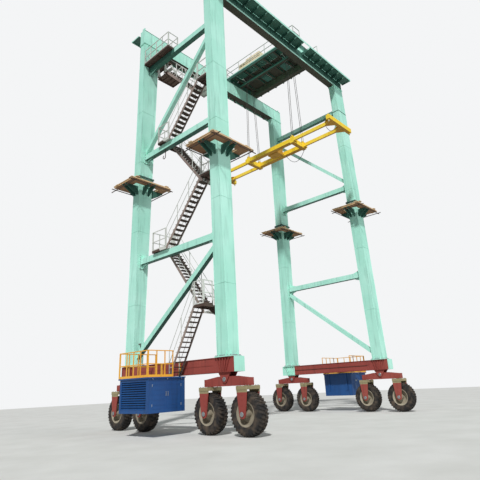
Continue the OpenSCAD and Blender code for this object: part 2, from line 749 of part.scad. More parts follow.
module stair_6() {
    flight(inner_x, front_5i + seat, land_5, rear_6, land_6);
    landing(small_x, [small_y[0] + seat, small_y[1]], land_6);
    tx = -leg_xc(tie_zs[2]) + tie_w / 2;
    color(grey) {
        along_x([small_x[1] - tube, small_x[1]])
            railing(small_y[0] + 6, small_y[1] - tube - 6, land_6 + seat);
        along_y([small_y[1] - tube, small_y[1]]) railing(top_x[1] + 20, small_x[1], land_6 + seat);
        for (y = [small_y[0] + 120, small_y[1] - 140])
            along_y([y, y + 20])
                polygon([[tx, tie_zs[2] - tie_h / 2], [tx, tie_zs[2] + tie_h / 2 - 40],
                         [tx + 60, tie_zs[2] + tie_h / 2 - 60], [small_x[0] + 160, land_6 - deck_t - seat],
                         [small_x[0] + 100, land_6 - deck_t - 60], [tx, land_6 - 60]]);
    }
    sy = [small_y[0] + 150, small_y[1] - 150];
    xs = top_x[1] + seat;
    color(dark) {
        for (i = [1:3])
            span([xs + short_going * (3 - i) + 10, xs + short_going * (4 - i)], sy,
                 [land_6 + (land_7 - land_6) * i / 4 - tread_t, land_6 + (land_7 - land_6) * i / 4]);
        for (y = [sy[0] - panel_t, sy[1]])
            along_y([y, y + panel_t])
                polygon([[xs, land_7], [xs, land_7 - stringer_h - 40],
                         [xs + 3 * short_going - 130, land_6 + seat],
                         [xs + 3 * short_going + 40, land_6 + seat],
                         [xs + 3 * short_going + 40, land_6 + 120]]);
    }
}

// Platform round the end of the left side, narrow beside the last flight
module top_platform() {
    ya = 400;
    yb = leg_yi(land_7) - seat;
    yw = small_y[0] + 130;
    xn = inner_x[0] - 6;
    landing([top_x[0], xn], [ya, yw + 1], land_7);
    landing(top_x, [yw, yb], land_7);
    color(grey) {
        along_x([top_x[0], top_x[0] + tube])
            railing(ya, leg_yi(land_7 + hand_h) - seat, land_7 + seat, bay = 560);
        along_y([ya, ya + tube]) railing(top_x[0] + tube + 6, xn, land_7 + seat, bay = 560);
        along_x([xn - tube, xn]) railing(ya + tube + 6, yw, land_7 + seat, bay = 560);
    }
}

// Power units with louvre, deck and railing

unit_x = [-portal_w / 2 - 40 - unit_l, -portal_w / 2 - 40];
unit_bottom = unit_deck_z - 50 - unit_h;

module power_unit(gate) {
    y = [-unit_w / 2, unit_w / 2];
    pz = [unit_bottom + 130, unit_deck_z - 150];
    pitch = (pz[1] - pz[0]) / slats;
    color(blue) {
        difference() {
            span(unit_x, y, [unit_bottom, unit_deck_z - 50]);
            span([unit_x[0] - 1, unit_x[0] + 50], [y[0] + 120, y[1] - 120], pz);
            span([unit_x[0] + 200, unit_x[1] - 200], [y[0] - 1, y[0] + 12], [pz[0], pz[1]]);
        }
        for (i = [0:slats - 1]) {
            z = pz[0] + (i + 0.1) * pitch;
            along_y([y[0] + 110, y[1] - 110])
                polygon([[unit_x[0] + 2, z + 6], [unit_x[0] + 2, z], [unit_x[0] + 55, z + 0.65 * pitch],
                         [unit_x[0] + 55, z + 0.75 * pitch]]);
        }
        for (k = [-0.32, 0.32])
            translate([0, k * unit_w, 0]) {
                span([unit_x[1] - 1, -sill_x[1] - 30 - seat], [-50, 50], [unit_bottom + 300, sill_top - 40]);
                span([-sill_x[1] - 31 - seat, -sill_x[1] - seat], [-50, 50],
                     [sill_z + sill_plate + seat, sill_z + sill_h / 2 - 10 - seat]);
            }
        span([unit_x[0] - 50, unit_x[1]], [y[0] - 50, y[1] + 50], [unit_deck_z - 50, unit_deck_z]);
    }
    rx = [unit_x[0] - 50, unit_x[1]];
    color(yellow) {
        along_x([rx[0], rx[0] + tube]) railing(y[0] - 50 + tube + 6, y[1] + 50 - tube - 6, unit_deck_z + seat,
                                               bay = 480);
        along_y([y[0] - 50, y[0] - 50 + tube]) railing(rx[0], gate ? first_x[0] - 30 : rx[1] - 20,
                                                       unit_deck_z + seat, bay = 480);
        along_y([y[1] + 50 - tube, y[1] + 50]) railing(rx[0], rx[1] - 20, unit_deck_z + seat, bay = 480);
    }
}

module power_unit_left() power_unit(true);
module power_unit_right() rotate([0, 0, 180]) power_unit(false);

// Trolley on the girder rails

carriage_z = rail_top + 60;
frame_top = carriage_z + frame_h;
drum_z = frame_top + rope_turn + 20;
runner_z = rail_top + runner_d / 2;
runner_x = trolley_l / 2 - 380;
main_x = trolley_l / 2 - main_w / 2 - 40;
drum_r = rope_turn - rope_d / 2 - seat;
frame_yo = girder_y - frame_w / 2;
bearer_ys = [420, hoist_y - 520, hoist_y + 520];

module end_carriage(s) {
    difference() {
        span([-trolley_l / 2, trolley_l / 2], [s * girder_y - frame_w / 2, s * girder_y + frame_w / 2],
             [carriage_z, frame_top]);
        for (t = [-1, 1])
            span([t * runner_x - runner_d / 2 - 10, t * runner_x + runner_d / 2 + 10],
                 [s * girder_y - 75, s * girder_y + 75], [carriage_z - 1, runner_z + runner_d / 2 + 10]);
    }
    for (t = [-1, 1]) {
        bar_y(t * runner_x, [s * girder_y - 60, s * girder_y + 60], runner_z + seat, runner_d);
        bar_y(t * runner_x, [s * girder_y - frame_w / 2 - 15, s * girder_y + frame_w / 2 + 15],
              runner_z + seat, 110);
    }
}

module trolley_frame()
    color(mint) translate([trolley_x + trolley_off, 0, 0]) {
        for (s = [-1, 1]) end_carriage(s);
        span([main_x - main_w / 2, main_x + main_w / 2], [-frame_yo - 1, frame_yo + 1],
             [carriage_z - 100, frame_top - 10]);
        for (i = [-3:3])
            span([main_x + main_w / 2 - 50, main_x + main_w / 2 + 20], [i * 720 - 45, i * 720 + 45],
                 [carriage_z - 150, carriage_z - 99]);
        span([-trolley_l / 2, -trolley_l / 2 + 90], [-frame_yo - 1, frame_yo + 1],
             [carriage_z + 180, frame_top - 10]);
        bar_y(-trolley_off, [-frame_yo - 1, frame_yo + 1], carriage_z + 130, 250);
        for (y = [-1700, 2100]) bar_y(-trolley_off, [y - 70, y + 70], carriage_z + 130, 330);
        for (s = [-1, 1], y = bearer_ys)
            span([-trolley_l / 2 + 40, main_x], [s * y - 60, s * y + 60], [frame_top - 180, frame_top - 20]);
        difference() {
            span([-trolley_l / 2 + deck_w + 5, main_x], [-frame_yo - 1, frame_yo + 1],
                 [frame_top - 21, frame_top - 5]);
            for (s = [-1, 1]) {
                span([-trolley_off - rope_turn - 90, -trolley_off + rope_turn + 90],
                     [s * hoist_y - 420, s * hoist_y + 420], [frame_top - 22, frame_top]);
                span([180, main_x - main_w / 2 - 90], [s * 880 - 260, s * 880 + 260],
                     [frame_top - 22, frame_top]);
            }
        }
    }

deck_x = [-trolley_l / 2, -trolley_l / 2 + deck_w];
rib_ys = [for (i = [-3:3]) i * 760];

module trolley_deck()
    color(grey) translate([trolley_x + trolley_off, 0, 0]) {
        span(deck_x, [-girder_y - 250, girder_y + 250], [frame_top + seat, frame_top + 50]);
        for (y = rib_ys)
            along_y([y - 8, y + 8])
                polygon([[deck_x[0] + 96, frame_top + 10], [deck_x[0] + 96, frame_top - 170],
                         [deck_x[1] - 10, frame_top - 90], [deck_x[1] - 10, frame_top + 10]]);
        span([main_x - main_w / 2, trolley_l / 2], [-girder_y - 250, girder_y + 250],
             [frame_top + seat, frame_top + 50]);
        for (x = [deck_x[0] + 60, trolley_l / 2 - tube])
            along_x([x, x + tube])
                railing(-girder_y - 250, girder_y + 250, frame_top + 50 + seat, h = 900, bay = 1150);
        for (s = [-1, 1])
            mirror([0, s < 0 ? 1 : 0, 0])
                along_y([girder_y + 250 - tube, girder_y + 250])
                    railing(deck_x[0] + 60 + tube + 6, deck_x[1], frame_top + 50 + seat, h = 900);
    }

module trolley_machinery()
    color(grey) translate([trolley_x, 0, 0]) {
        bar_y(0, [-hoist_y - 620, hoist_y + 620], drum_z, 100);
        for (s = [-1, 1]) {
            bar_y(0, [s * hoist_y - 380, s * hoist_y + 380], drum_z, 2 * drum_r);
            for (k = [-390, 370])
                bar_y(0, [s * hoist_y + k, s * hoist_y + k + 20], drum_z, 2 * drum_r + 110);
            for (k = [-520, 520])
                along_y([s * hoist_y + k - 45, s * hoist_y + k + 45]) {
                    translate([0, drum_z]) circle(r = 120);
                    polygon([[-230, frame_top - 5 + seat], [230, frame_top - 5 + seat], [110, drum_z],
                             [-110, drum_z]]);
                }
            bar_y(0, [s * 900 - 90, s * 900 + 90], drum_z, 230);
        }
        span([-260, 300], [-380, 380], [frame_top - 5 + seat, drum_z + 260]);
        for (s = [-1, 1]) {
            span([-200, 200], [s * 430 - 60, s * 430 + 60], [frame_top - 5 + seat, frame_top + 60]);
            bar_y(170, s > 0 ? [370, 760] : [-760, -370], drum_z + 60, 260);
        }
    }

module trolley_cabinets()
    color(cream) translate([trolley_x + trolley_off, 0, 0])
        for (i = [0:2]) {
            y0 = -100 + i * 660;
            h = cabinet_h - (i == 2 ? 120 : 0);
            difference() {
                span([deck_x[0] + 140, deck_x[0] + 640], [y0, y0 + 640],
                     [frame_top + 50 + seat, frame_top + 50 + h]);
                span([deck_x[0] + 139, deck_x[0] + 148], [y0 + 40, y0 + 600],
                     [frame_top + 120, frame_top + h - 30]);
            }
        }

// Ropes between the drums and the hoist lugs, two at each lug

lug_sheave_d = 84;
spreader_top = spreader_z + guide_h / 2;
frame_bottom = spreader_z - guide_h / 2;
hook_z = spreader_top + lug_up - 70;
rope_pitch = lug_sheave_d + rope_d + 2 * seat;
web_t = 14;
guide_t = 18;
cell_w = arm_w + 2 * side_gap;
guide_w = 2 * cell_w + 3 * web_t;
arm_h = guide_h - 2 * guide_t - 2 * side_gap;
arm_off = (cell_w + web_t) / 2;

module hoist_rope(t) {
    low = [t * guide_x, hook_z];
    high = [t * rope_turn, drum_z];
    d = high - low;
    translate([low[0], 0, low[1]]) rotate([0, atan2(d[0], d[1]), 0])
        cylinder(h = norm(d), d = rope_d, $fn = 24);
}

module hoist_ropes()
    color(dark) translate([trolley_x, 0, 0])
        for (s = [-1, 1], k = [-0.5, 0.5], t = [-1, 1])
            translate([0, s * hoist_y + k * rope_pitch, 0]) hoist_rope(t);

// Spreader main frame: two-cell box beams, cross members with hoist lugs, and the middle box

module guide_beam()
    along_y([-frame_y, frame_y]) difference() {
        translate([-guide_w / 2, spreader_z - guide_h / 2]) square([guide_w, guide_h]);
        for (k = [-1, 1])
            translate([k * arm_off - cell_w / 2, spreader_z - guide_h / 2 + guide_t])
                square([cell_w, guide_h - 2 * guide_t]);
    }

// Two plates with a pin and a small sheave between them, on top of a guide beam
module hoist_lug() {
    for (k = [-1, 1])
        along_x([k * 75 - 10, k * 75 + 10]) {
            translate([0, hook_z]) circle(r = 70);
            polygon([[-200, spreader_top - 1], [200, spreader_top - 1],
                     [67, hook_z + 18], [-67, hook_z + 18]]);
        }
    bar_x([-100, 100], 0, hook_z, 56);
    bar_x([-30, 30], 0, hook_z, lug_sheave_d);
}

module hoist_cross() {
    inner = guide_x - guide_w / 2 + 1;
    outer = guide_x + guide_w / 2;
    span([-inner, inner], [-110, 110], [frame_bottom, spreader_top - 10]);
    span([-outer, outer], [-130, 130], [frame_bottom - 70, frame_bottom + 1]);
    for (t = [-1, 1]) translate([t * guide_x, 0, 0]) hoist_lug();
}

// Slide pad under an arm where it leaves its guide
module arm_pad(x, s)
    span([x - arm_w / 2, x + arm_w / 2], s > 0 ? [frame_y - 240, frame_y] : [-frame_y, -frame_y + 240],
         [spreader_z - guide_h / 2 + guide_t - 1, spreader_z - arm_h / 2 - seat]);

module spreader_frame()
    color(yellow) translate([trolley_x, 0, 0]) {
        for (s = [-1, 1]) {
            translate([s * guide_x, 0, 0]) guide_beam();
            translate([0, s * hoist_y, 0]) hoist_cross();
            span([-guide_x + guide_w / 2 - 1, guide_x - guide_w / 2 + 1], [s * 330 - 60, s * 330 + 60],
                 [spreader_z - 60, spreader_z + 60]);
        }
        for (s = [-1, 1], t = [-1, 1]) arm_pad(t * guide_x + s * arm_off, s);
        span([-300, 300], [-390, 390], [spreader_z - 130, spreader_z + 330]);
        along_x([-30, 30]) difference() {
            translate([0, spreader_z + 420]) circle(r = 190);
            translate([0, spreader_z + 420]) circle(r = 110);
        }
    }

end_y = 110;
reach_out = 1145;
arm_hold = 560;
arm_l = lock_y - end_y + reach_out - frame_y + arm_hold;

gusset_l = 450;
gusset_w = 370;

// Gusset plate that widens an arm towards its end beam
module arm_gusset(z)
    translate([0, lock_y - end_y, z]) linear_extrude(16)
        polygon([[-arm_w / 2, -gusset_l], [arm_w / 2, -gusset_l], [gusset_w, 1], [-gusset_w, 1]]);

module twistlock() {
    translate([0, 0, frame_bottom - 90]) cylinder(h = 91, d = 100);
    translate([0, 0, frame_bottom - 150]) cylinder(h = 61, d1 = 36, d2 = 96);
    translate([0, 0, spreader_top - 1]) cylinder(h = 60, d = 130);
}

// One telescopic end: its arms run in the left cells of the guides at the front, the right ones at the rear
module spreader_end(s)
    color(yellow) translate([trolley_x, 0, 0]) mirror([0, s < 0 ? 1 : 0, 0]) {
        span([-spreader_w / 2, spreader_w / 2], [lock_y - end_y, lock_y + end_y],
             [frame_bottom, spreader_top]);
        for (t = [-1, 1]) {
            translate([t * guide_x + s * arm_off, 0, 0]) {
                span([-arm_w / 2, arm_w / 2], [lock_y - end_y - arm_l, lock_y],
                     [spreader_z - arm_h / 2, spreader_z + arm_h / 2]);
                arm_gusset(spreader_z - arm_h / 2);
                arm_gusset(spreader_z + arm_h / 2 - 16);
            }
            translate([t * lock_x / 2, lock_y, 0]) twistlock();
        }
    }

sills();
legs_lower();
legs_upper();
bracing();
girders();
walkways();
scaffolds();
stair_1();
stair_2();
stair_3();
stair_4();
stair_5();
stair_6();
top_platform();
power_unit_left();
power_unit_right();
equaliser(-1, -1);  // equaliser_front_left
equaliser(1, -1);  // equaliser_front_right
equaliser(-1, 1);  // equaliser_rear_left
equaliser(1, 1);  // equaliser_rear_right
fork(-1, -1, 1);  // fork_front_left_outer
fork(-1, -1, -1);  // fork_front_left_inner
fork(1, -1, 1);  // fork_front_right_outer
fork(1, -1, -1);  // fork_front_right_inner
fork(-1, 1, 1);  // fork_rear_left_outer
fork(-1, 1, -1);  // fork_rear_left_inner
fork(1, 1, 1);  // fork_rear_right_outer
fork(1, 1, -1);  // fork_rear_right_inner
wheel(-1, -1, 1);  // wheel_front_left_outer
wheel(-1, -1, -1);  // wheel_front_left_inner
wheel(1, -1, 1);  // wheel_front_right_outer
wheel(1, -1, -1);  // wheel_front_right_inner
wheel(-1, 1, 1);  // wheel_rear_left_outer
wheel(-1, 1, -1);  // wheel_rear_left_inner
wheel(1, 1, 1);  // wheel_rear_right_outer
wheel(1, 1, -1);  // wheel_rear_right_inner
trolley_frame();
trolley_deck();
trolley_machinery();
trolley_cabinets();
hoist_ropes();
spreader_frame();
spreader_end(-1);  // spreader_end_front
spreader_end(1);  // spreader_end_rear
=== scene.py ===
"""Looks of a rubber tyred gantry crane: paint, bolts, seams, wheels, boards and fittings, in metres."""
import math

import bpy
import numpy as np
from mathutils import Matrix


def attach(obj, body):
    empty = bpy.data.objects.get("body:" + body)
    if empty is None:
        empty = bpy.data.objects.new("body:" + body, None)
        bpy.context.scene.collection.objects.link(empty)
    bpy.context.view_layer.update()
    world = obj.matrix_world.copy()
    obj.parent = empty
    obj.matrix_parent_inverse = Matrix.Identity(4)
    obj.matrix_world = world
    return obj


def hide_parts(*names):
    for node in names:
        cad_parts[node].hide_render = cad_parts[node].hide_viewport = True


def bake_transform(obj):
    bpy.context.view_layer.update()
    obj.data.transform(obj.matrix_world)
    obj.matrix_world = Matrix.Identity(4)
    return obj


bl_info = {
    "name": "Rubber tyred gantry crane",
    "version": (1, 0, 0),
    "blender": (4, 5, 0),
    "location": "View3D > Sidebar > Crane",
    "description": "Paints the crane frame and adds its bolts, seams, wheels, boards and fittings",
    "category": "Object",
}

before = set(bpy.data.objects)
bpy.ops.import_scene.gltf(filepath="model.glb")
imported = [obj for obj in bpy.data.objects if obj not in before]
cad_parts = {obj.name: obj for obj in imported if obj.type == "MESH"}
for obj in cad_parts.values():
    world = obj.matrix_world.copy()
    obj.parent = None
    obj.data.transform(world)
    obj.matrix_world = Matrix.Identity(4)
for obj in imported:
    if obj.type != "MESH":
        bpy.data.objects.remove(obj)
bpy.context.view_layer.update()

CORNERS = [("front_left", -1, -1), ("front_right", 1, -1), ("rear_left", -1, 1), ("rear_right", 1, 1)]
WHEELS = [(name + end, sx, sy, e) for name, sx, sy in CORNERS for end, e in (("_outer", 1), ("_inner", -1))]


# Arrays and meshes

def mesh_object(name, part, finish, body=None, smooth=False):
    """Puts a (verts, faces) pair into a painted mesh object at the origin.

    It rides on a body if one is named.
    """
    verts, faces = part
    mesh = bpy.data.meshes.new(name)
    mesh.from_pydata(np.asarray(verts, dtype=float).tolist(), [], [list(map(int, f)) for f in faces])
    mesh.validate()
    mesh.polygons.foreach_set("use_smooth", np.full(len(mesh.polygons), smooth))
    mesh.materials.append(MATERIALS[finish])
    obj = bpy.data.objects.new(name, mesh)
    bpy.context.scene.collection.objects.link(obj)
    if body:
        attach(obj, body)
    return obj


def join(parts):
    """Joins (verts, faces) pairs into one pair by shifting each pair's face numbers."""
    verts = np.vstack([np.asarray(v, dtype=float) for v, _ in parts])
    faces = []
    start = 0
    for v, f in parts:
        faces += [tuple(np.asarray(q) + start) for q in f]
        start += len(v)
    return verts, faces


def stamp(part, places):
    """Copies one (verts, faces) pair to each 4x4 place: p' = M p, for all places at once."""
    verts, faces = part
    verts = np.asarray(verts, dtype=float)
    places = np.asarray(places, dtype=float)
    hom = np.hstack([verts, np.ones((len(verts), 1))])
    out = np.einsum("kij,nj->kni", places, hom)[:, :, :3].reshape(-1, 3)
    copies = [tuple(i + k * len(verts) for i in f) for k in range(len(places)) for f in faces]
    return out, copies


def grid_faces(nu, nv, wrap_u=False):
    """Quads of a grid with nu rows and nv columns, closed round in v, and in u if asked."""
    uu, vv = np.meshgrid(np.arange(nu if wrap_u else nu - 1), np.arange(nv), indexing="ij")
    a = uu * nv + vv
    b = ((uu + 1) % nu) * nv + vv
    c = ((uu + 1) % nu) * nv + (vv + 1) % nv
    d = uu * nv + (vv + 1) % nv
    return np.stack([a, b, c, d], axis=-1).reshape(-1, 4).tolist()


def solid(verts, faces):
    """Turns a closed shape's faces outwards: the sum of a . (b x c) over them is six times its volume."""
    v = np.asarray(verts, dtype=float)
    tris = np.array([(f[0], f[i], f[i + 1]) for f in faces for i in range(1, len(f) - 1)])
    a, b, c = v[tris[:, 0]], v[tris[:, 1]], v[tris[:, 2]]
    if np.einsum("ij,ij->", a, np.cross(b, c)) < 0:
        return v, [tuple(reversed(f)) for f in faces]
    return v, [tuple(f) for f in faces]


def prism(profile, depth):
    """A closed outline (x, y) carried along z from 0 to depth, with both ends closed."""
    p = np.asarray(profile, dtype=float)
    n = len(p)
    low = np.column_stack([p, np.zeros(n)])
    high = np.column_stack([p, np.full(n, depth)])
    sides = [(i, (i + 1) % n, n + (i + 1) % n, n + i) for i in range(n)]
    return solid(np.vstack([low, high]), [tuple(reversed(range(n)))] + [tuple(range(n, 2 * n))] + sides)


def ngon(n, radius):
    """Corner points of a regular polygon: r (cos t, sin t)."""
    t = np.arange(n) * 2 * math.pi / n
    return np.column_stack([radius * np.cos(t), radius * np.sin(t)])


def lathe(profile, steps):
    """Revolves (radius, height) points about z: (r cos t, r sin t, h), closed in both directions."""
    p = np.asarray(profile, dtype=float)
    t = np.arange(steps) * 2 * math.pi / steps
    r, h = p[:, 0], p[:, 1]
    x = np.outer(np.cos(t), r)
    y = np.outer(np.sin(t), r)
    z = np.outer(np.ones(steps), h)
    return solid(np.stack([x, y, z], axis=-1).reshape(-1, 3), grid_faces(steps, len(p), True))


def tube(path, radius, sides=8):
    """A circle of the given radius carried along a path, square to it at each point, with closed ends."""
    p = np.asarray(path, dtype=float)
    t = np.gradient(p, axis=0)
    t /= np.linalg.norm(t, axis=1, keepdims=True)
    ref = np.where(np.abs(t[:, 2:3]) > 0.9, [[1.0, 0.0, 0.0]], [[0.0, 0.0, 1.0]])
    u = np.cross(t, ref)
    u /= np.linalg.norm(u, axis=1, keepdims=True)
    v = np.cross(t, u)
    a = np.arange(sides) * 2 * math.pi / sides
    ring = u[:, None, :] * np.cos(a)[None, :, None] + v[:, None, :] * np.sin(a)[None, :, None]
    verts = (p[:, None, :] - radius * ring).reshape(-1, 3)
    n = len(p) * sides
    ends = [tuple(reversed(range(sides))), tuple(range(n - sides, n))]
    return solid(verts, grid_faces(len(p), sides) + ends)


def move(x, y, z):
    """A 4x4 shift."""
    m = np.eye(4)
    m[:3, 3] = (x, y, z)
    return m


def turn(axis, degrees):
    """A 4x4 turn about a row axis by the right-hand rule."""
    c, s = math.cos(math.radians(degrees)), math.sin(math.radians(degrees))
    i, j = {"x": (1, 2), "y": (2, 0), "z": (0, 1)}[axis]
    m = np.eye(4)
    m[i, i] = m[j, j] = c
    m[i, j] = -s
    m[j, i] = s
    return m


def around(count, place, start=0.0):
    """One place turned evenly round z, count times: R(start + 360 k / count) M."""
    return [turn("z", start + 360 * k / count) @ place for k in range(count)]


def box_part(low, high, edge=0.004):
    """A box with its vertical edges cut by a small chamfer: an eight-cornered outline carried upwards."""
    (x0, y0, z0), (x1, y1, z1) = low, high
    e = min(edge, (x1 - x0) / 3, (y1 - y0) / 3)
    outline = [(x0 + e, y0), (x1 - e, y0), (x1, y0 + e), (x1, y1 - e),
               (x1 - e, y1), (x0 + e, y1), (x0, y1 - e), (x0, y0 + e)]
    verts, faces = prism(outline, z1 - z0)
    return verts + [0, 0, z0], faces


def bolt(radius, head):
    """A hex head on a washer 1.4 times as wide, standing on z = 0."""
    washer_t = 0.2 * head
    verts, faces = prism(ngon(6, radius), head)
    return join([prism(ngon(10, 1.4 * radius), washer_t), (verts + [0, 0, washer_t], faces)])


def cap(radius, side, top, height, steps):
    """A round cap on z = 0, whose rim narrows from radius at side to top at height."""
    return lathe([(POLE, 0), (radius, 0), (radius, side), (top, height), (POLE, height)], steps)


def bar(a, b, radius, sides=8):
    """A round bar between two points."""
    return tube([a, (np.asarray(a, dtype=float) + b) / 2, b], radius, sides)


def row(low, high, pitch):
    """Evenly spaced values from low to high, about pitch apart."""
    return np.linspace(low, high, max(2, round((high - low) / pitch) + 1))


# Sizes that follow the frame, in metres

# Radius of the pin hole that a lathe shape leaves at its axis
POLE = 0.0005
QUARTERS = [(sx, sy) for sx in (-1, 1) for sy in (-1, 1)]
# Outer and inner x, then outer and inner y, of a leg at its foot and at its head
FOOT = np.array([6.46, 5.91, 3.485, 2.83])
HEAD = np.array([6.60, 5.566, 3.065, 2.634])
SILL_TOP, JOINT_Z, LEG_TOP = 2.75, 12.5, 21.45
FLANGE_T = 0.04
# Weld rings round every leg, and the dark one on the front right leg
RING_SEAMS = (5.6, 9.4, 13.4, 16.6)
DARK_RING = 19.4
# Middle heights of the tie beams between the legs of a side
TIES = (7.78, 13.71, 19.64)
# Middle of a sill and of its pivot pins, reach from a pivot to its wheels, and axle height
SILL_X, SILL_LOW = 6.185, 2.2
PIVOT_Y, PIVOT_Z = 3.12, 1.95
ARM, AXLE_Z = 1.0, 0.75
# Ends of a pivot pin and of an axle from their middle, and the top of a fork's crown plate
PIN_END, AXLE_END, CROWN_TOP = 0.216, 0.39, 1.69
# Half length, middle, half width, bottom and top of a girder, and outer edge and top of its walkway
GIRDER_X, GIRDER_Y, GIRDER_HALF = 6.65, 2.8495, 0.22
GIRDER_LOW, GIRDER_TOP = 21.49, 22.45
WALK_EDGE, WALK_TOP = 3.7845, 22.15
# Middle of a scaffold ring, top of its boards, and top of the brackets below them
RING_X, RING_Y, RING_Z = 6.1346, 3.0052, 12.0
BRACKET_TOP = 11.9548
# Top of a power unit's deck plate
UNIT_DECK = 2.15
# Middle of the hoist and of the trolley's frame along the span, top of that frame, and the drums
TROLLEY_X, FRAME_X, FRAME_TOP = 2.08, 2.375, 22.98
DRUM_Z, HOIST_Y = 23.3, 1.85
# Radius of hoist ropes and cables
ROPE_R = 0.014
# Guide beams of the spreader, and the pins of the hoist lugs on them
GUIDE_X, BEAM_LOW, BEAM_TOP, PIN_Z = 0.55, 15.765, 16.035, 16.195
# X bounds, Y and Z from foot to head of the flights of stairs 1 to 6
FLIGHTS = [((-7.10, -6.56), (-0.67, -2.20), (2.15, 4.75)),
           ((-5.835, -5.195), (-1.45, 1.05), (4.75, 8.00)),
           ((-6.435, -5.895), (0.50, -2.00), (8.00, 10.85)),
           ((-5.835, -5.195), (-1.60, 0.90), (10.85, 13.93)),
           ((-6.435, -5.895), (0.40, -1.85), (13.93, 16.30)),
           ((-5.835, -5.195), (-1.10, 1.37), (16.30, 19.00))]
# Posts start this far over the line of a flight, or over its treads between the two side panels
POSTS_OVER, TREADS_OVER = 0.045, 0.190
# Beyond everything, for masks that have no bound on a side
FAR = 99.0


def leg_faces(z):
    """Outer and inner x, then outer and inner y of a leg at height z: foot + (head - foot) t, evenly."""
    return FOOT + (HEAD - FOOT) * (z - SILL_TOP) / (LEG_TOP - SILL_TOP)


# Materials

def linear(hex_colour):
    """An sRGB hex value as linear RGBA."""
    c = np.array([int(hex_colour[i:i + 2], 16) for i in (1, 3, 5)]) / 255
    lin = np.where(c <= 0.04045, c / 12.92, ((c + 0.055) / 1.055) ** 2.4)
    return (*lin.tolist(), 1.0)


def add(tree, kind, values=None, links=None, **settings):
    """Adds one shader node of a kind, sets its properties and sockets, and links its inputs."""
    node = tree.nodes.new("ShaderNode" + kind)
    for key, value in settings.items():
        setattr(node, key, value)
    for key, value in (values or {}).items():
        node.inputs[key].default_value = value
    for key, source in (links or {}).items():
        tree.links.new(source, node.inputs[key])
    return node


def ramp(tree, source, low, high, colours=((0, 0, 0, 1), (1, 1, 1, 1))):
    """A colour ramp between two stops."""
    node = add(tree, "ValToRGB", links={"Fac": source})
    node.color_ramp.elements[0].position = low
    node.color_ramp.elements[1].position = high
    node.color_ramp.elements[0].color = colours[0]
    node.color_ramp.elements[1].color = colours[1]
    return node.outputs["Color"]


def mix(tree, factor, a, b):
    """Mixes two colours by a factor, each a socket or an RGBA value."""
    node = add(tree, "Mix", data_type="RGBA")
    for socket, value in ((node.inputs["Factor"], factor), (node.inputs[6], a), (node.inputs[7], b)):
        if isinstance(value, bpy.types.NodeSocket):
            tree.links.new(value, socket)
        else:
            socket.default_value = value
    return node.outputs[2]


def noise(tree, scale, detail=4.0, stretch=(1, 1, 1), rough=0.55):
    """Noise on Object coordinates, with features about 1 / scale metres wide."""
    coords = add(tree, "TexCoord").outputs["Object"]
    mapping = add(tree, "Mapping", values={"Scale": stretch}, links={"Vector": coords})
    node = add(tree, "TexNoise", values={"Scale": scale, "Detail": detail, "Roughness": rough},
               links={"Vector": mapping.outputs["Vector"]})
    return node.outputs["Fac"]


def begin(name, roughness, metallic=0.0):
    """A new material and its shader, with plain sockets set."""
    material = bpy.data.materials.new(name)
    material.use_nodes = True
    tree = material.node_tree
    shader = tree.nodes["Principled BSDF"]
    shader.inputs["Roughness"].default_value = roughness
    shader.inputs["Metallic"].default_value = metallic
    return material, tree, shader


def bump(tree, shader, height, strength, distance):
    """Links a height to the shader's normal."""
    node = add(tree, "Bump", values={"Strength": strength, "Distance": distance},
               links={"Height": height})
    tree.links.new(node.outputs["Normal"], shader.inputs["Normal"])


def math_node(tree, operation, a, b=0.0):
    """The result of one math node; a and b are sockets or numbers."""
    node = add(tree, "Math", operation=operation)
    for socket, value in zip(node.inputs, (a, b)):
        if isinstance(value, bpy.types.NodeSocket):
            tree.links.new(value, socket)
        else:
            socket.default_value = value
    return node.outputs[0]


def inside(x=(-FAR, FAR), y=(-FAR, FAR), z=(-FAR, FAR)):
    """A mask that is 1 between bounds on each axis: the largest of |p - centre| / half size is below 1."""
    low, high = np.array([x, y, z], dtype=float).T

    def mask(tree):
        p = add(tree, "TexCoord").outputs["Object"]
        kind = "VectorMath"
        away = add(tree, kind, {1: (low + high) / 2}, {0: p}, operation="SUBTRACT").outputs[0]
        size = add(tree, kind, None, {0: away}, operation="ABSOLUTE").outputs[0]
        part = add(tree, kind, {1: (high - low) / 2}, {0: size}, operation="DIVIDE").outputs[0]
        px, py, pz = add(tree, "SeparateXYZ", None, {0: part}).outputs
        largest = math_node(tree, "MAXIMUM", px, math_node(tree, "MAXIMUM", py, pz))
        return math_node(tree, "LESS_THAN", largest, 1.0)
    return mask


def over_flight(x, y, z):
    """A mask that is 1 on posts and rails of a flight from (y0, z0) to (y1, z1), and of its upper landing.

    They start a little over the line of the flight, and between its side panels higher, above the treads.
    """
    def mask(tree):
        p = add(tree, "TexCoord").outputs["Object"]
        px, py, pz = add(tree, "SeparateXYZ", None, {0: p}).outputs
        ends = {"From Min": y[0], "From Max": y[1], "To Min": z[0], "To Max": z[1]}
        line = add(tree, "MapRange", ends, {"Value": py}).outputs["Result"]
        off = math_node(tree, "ABSOLUTE", math_node(tree, "SUBTRACT", px, (x[0] + x[1]) / 2))
        between = math_node(tree, "LESS_THAN", off, (x[1] - x[0]) / 2 - 0.0165)
        need = math_node(tree, "MULTIPLY_ADD", between, TREADS_OVER - POSTS_OVER)
        need.node.inputs[2].default_value = POSTS_OVER
        return math_node(tree, "GREATER_THAN", math_node(tree, "SUBTRACT", pz, line), need)
    return mask
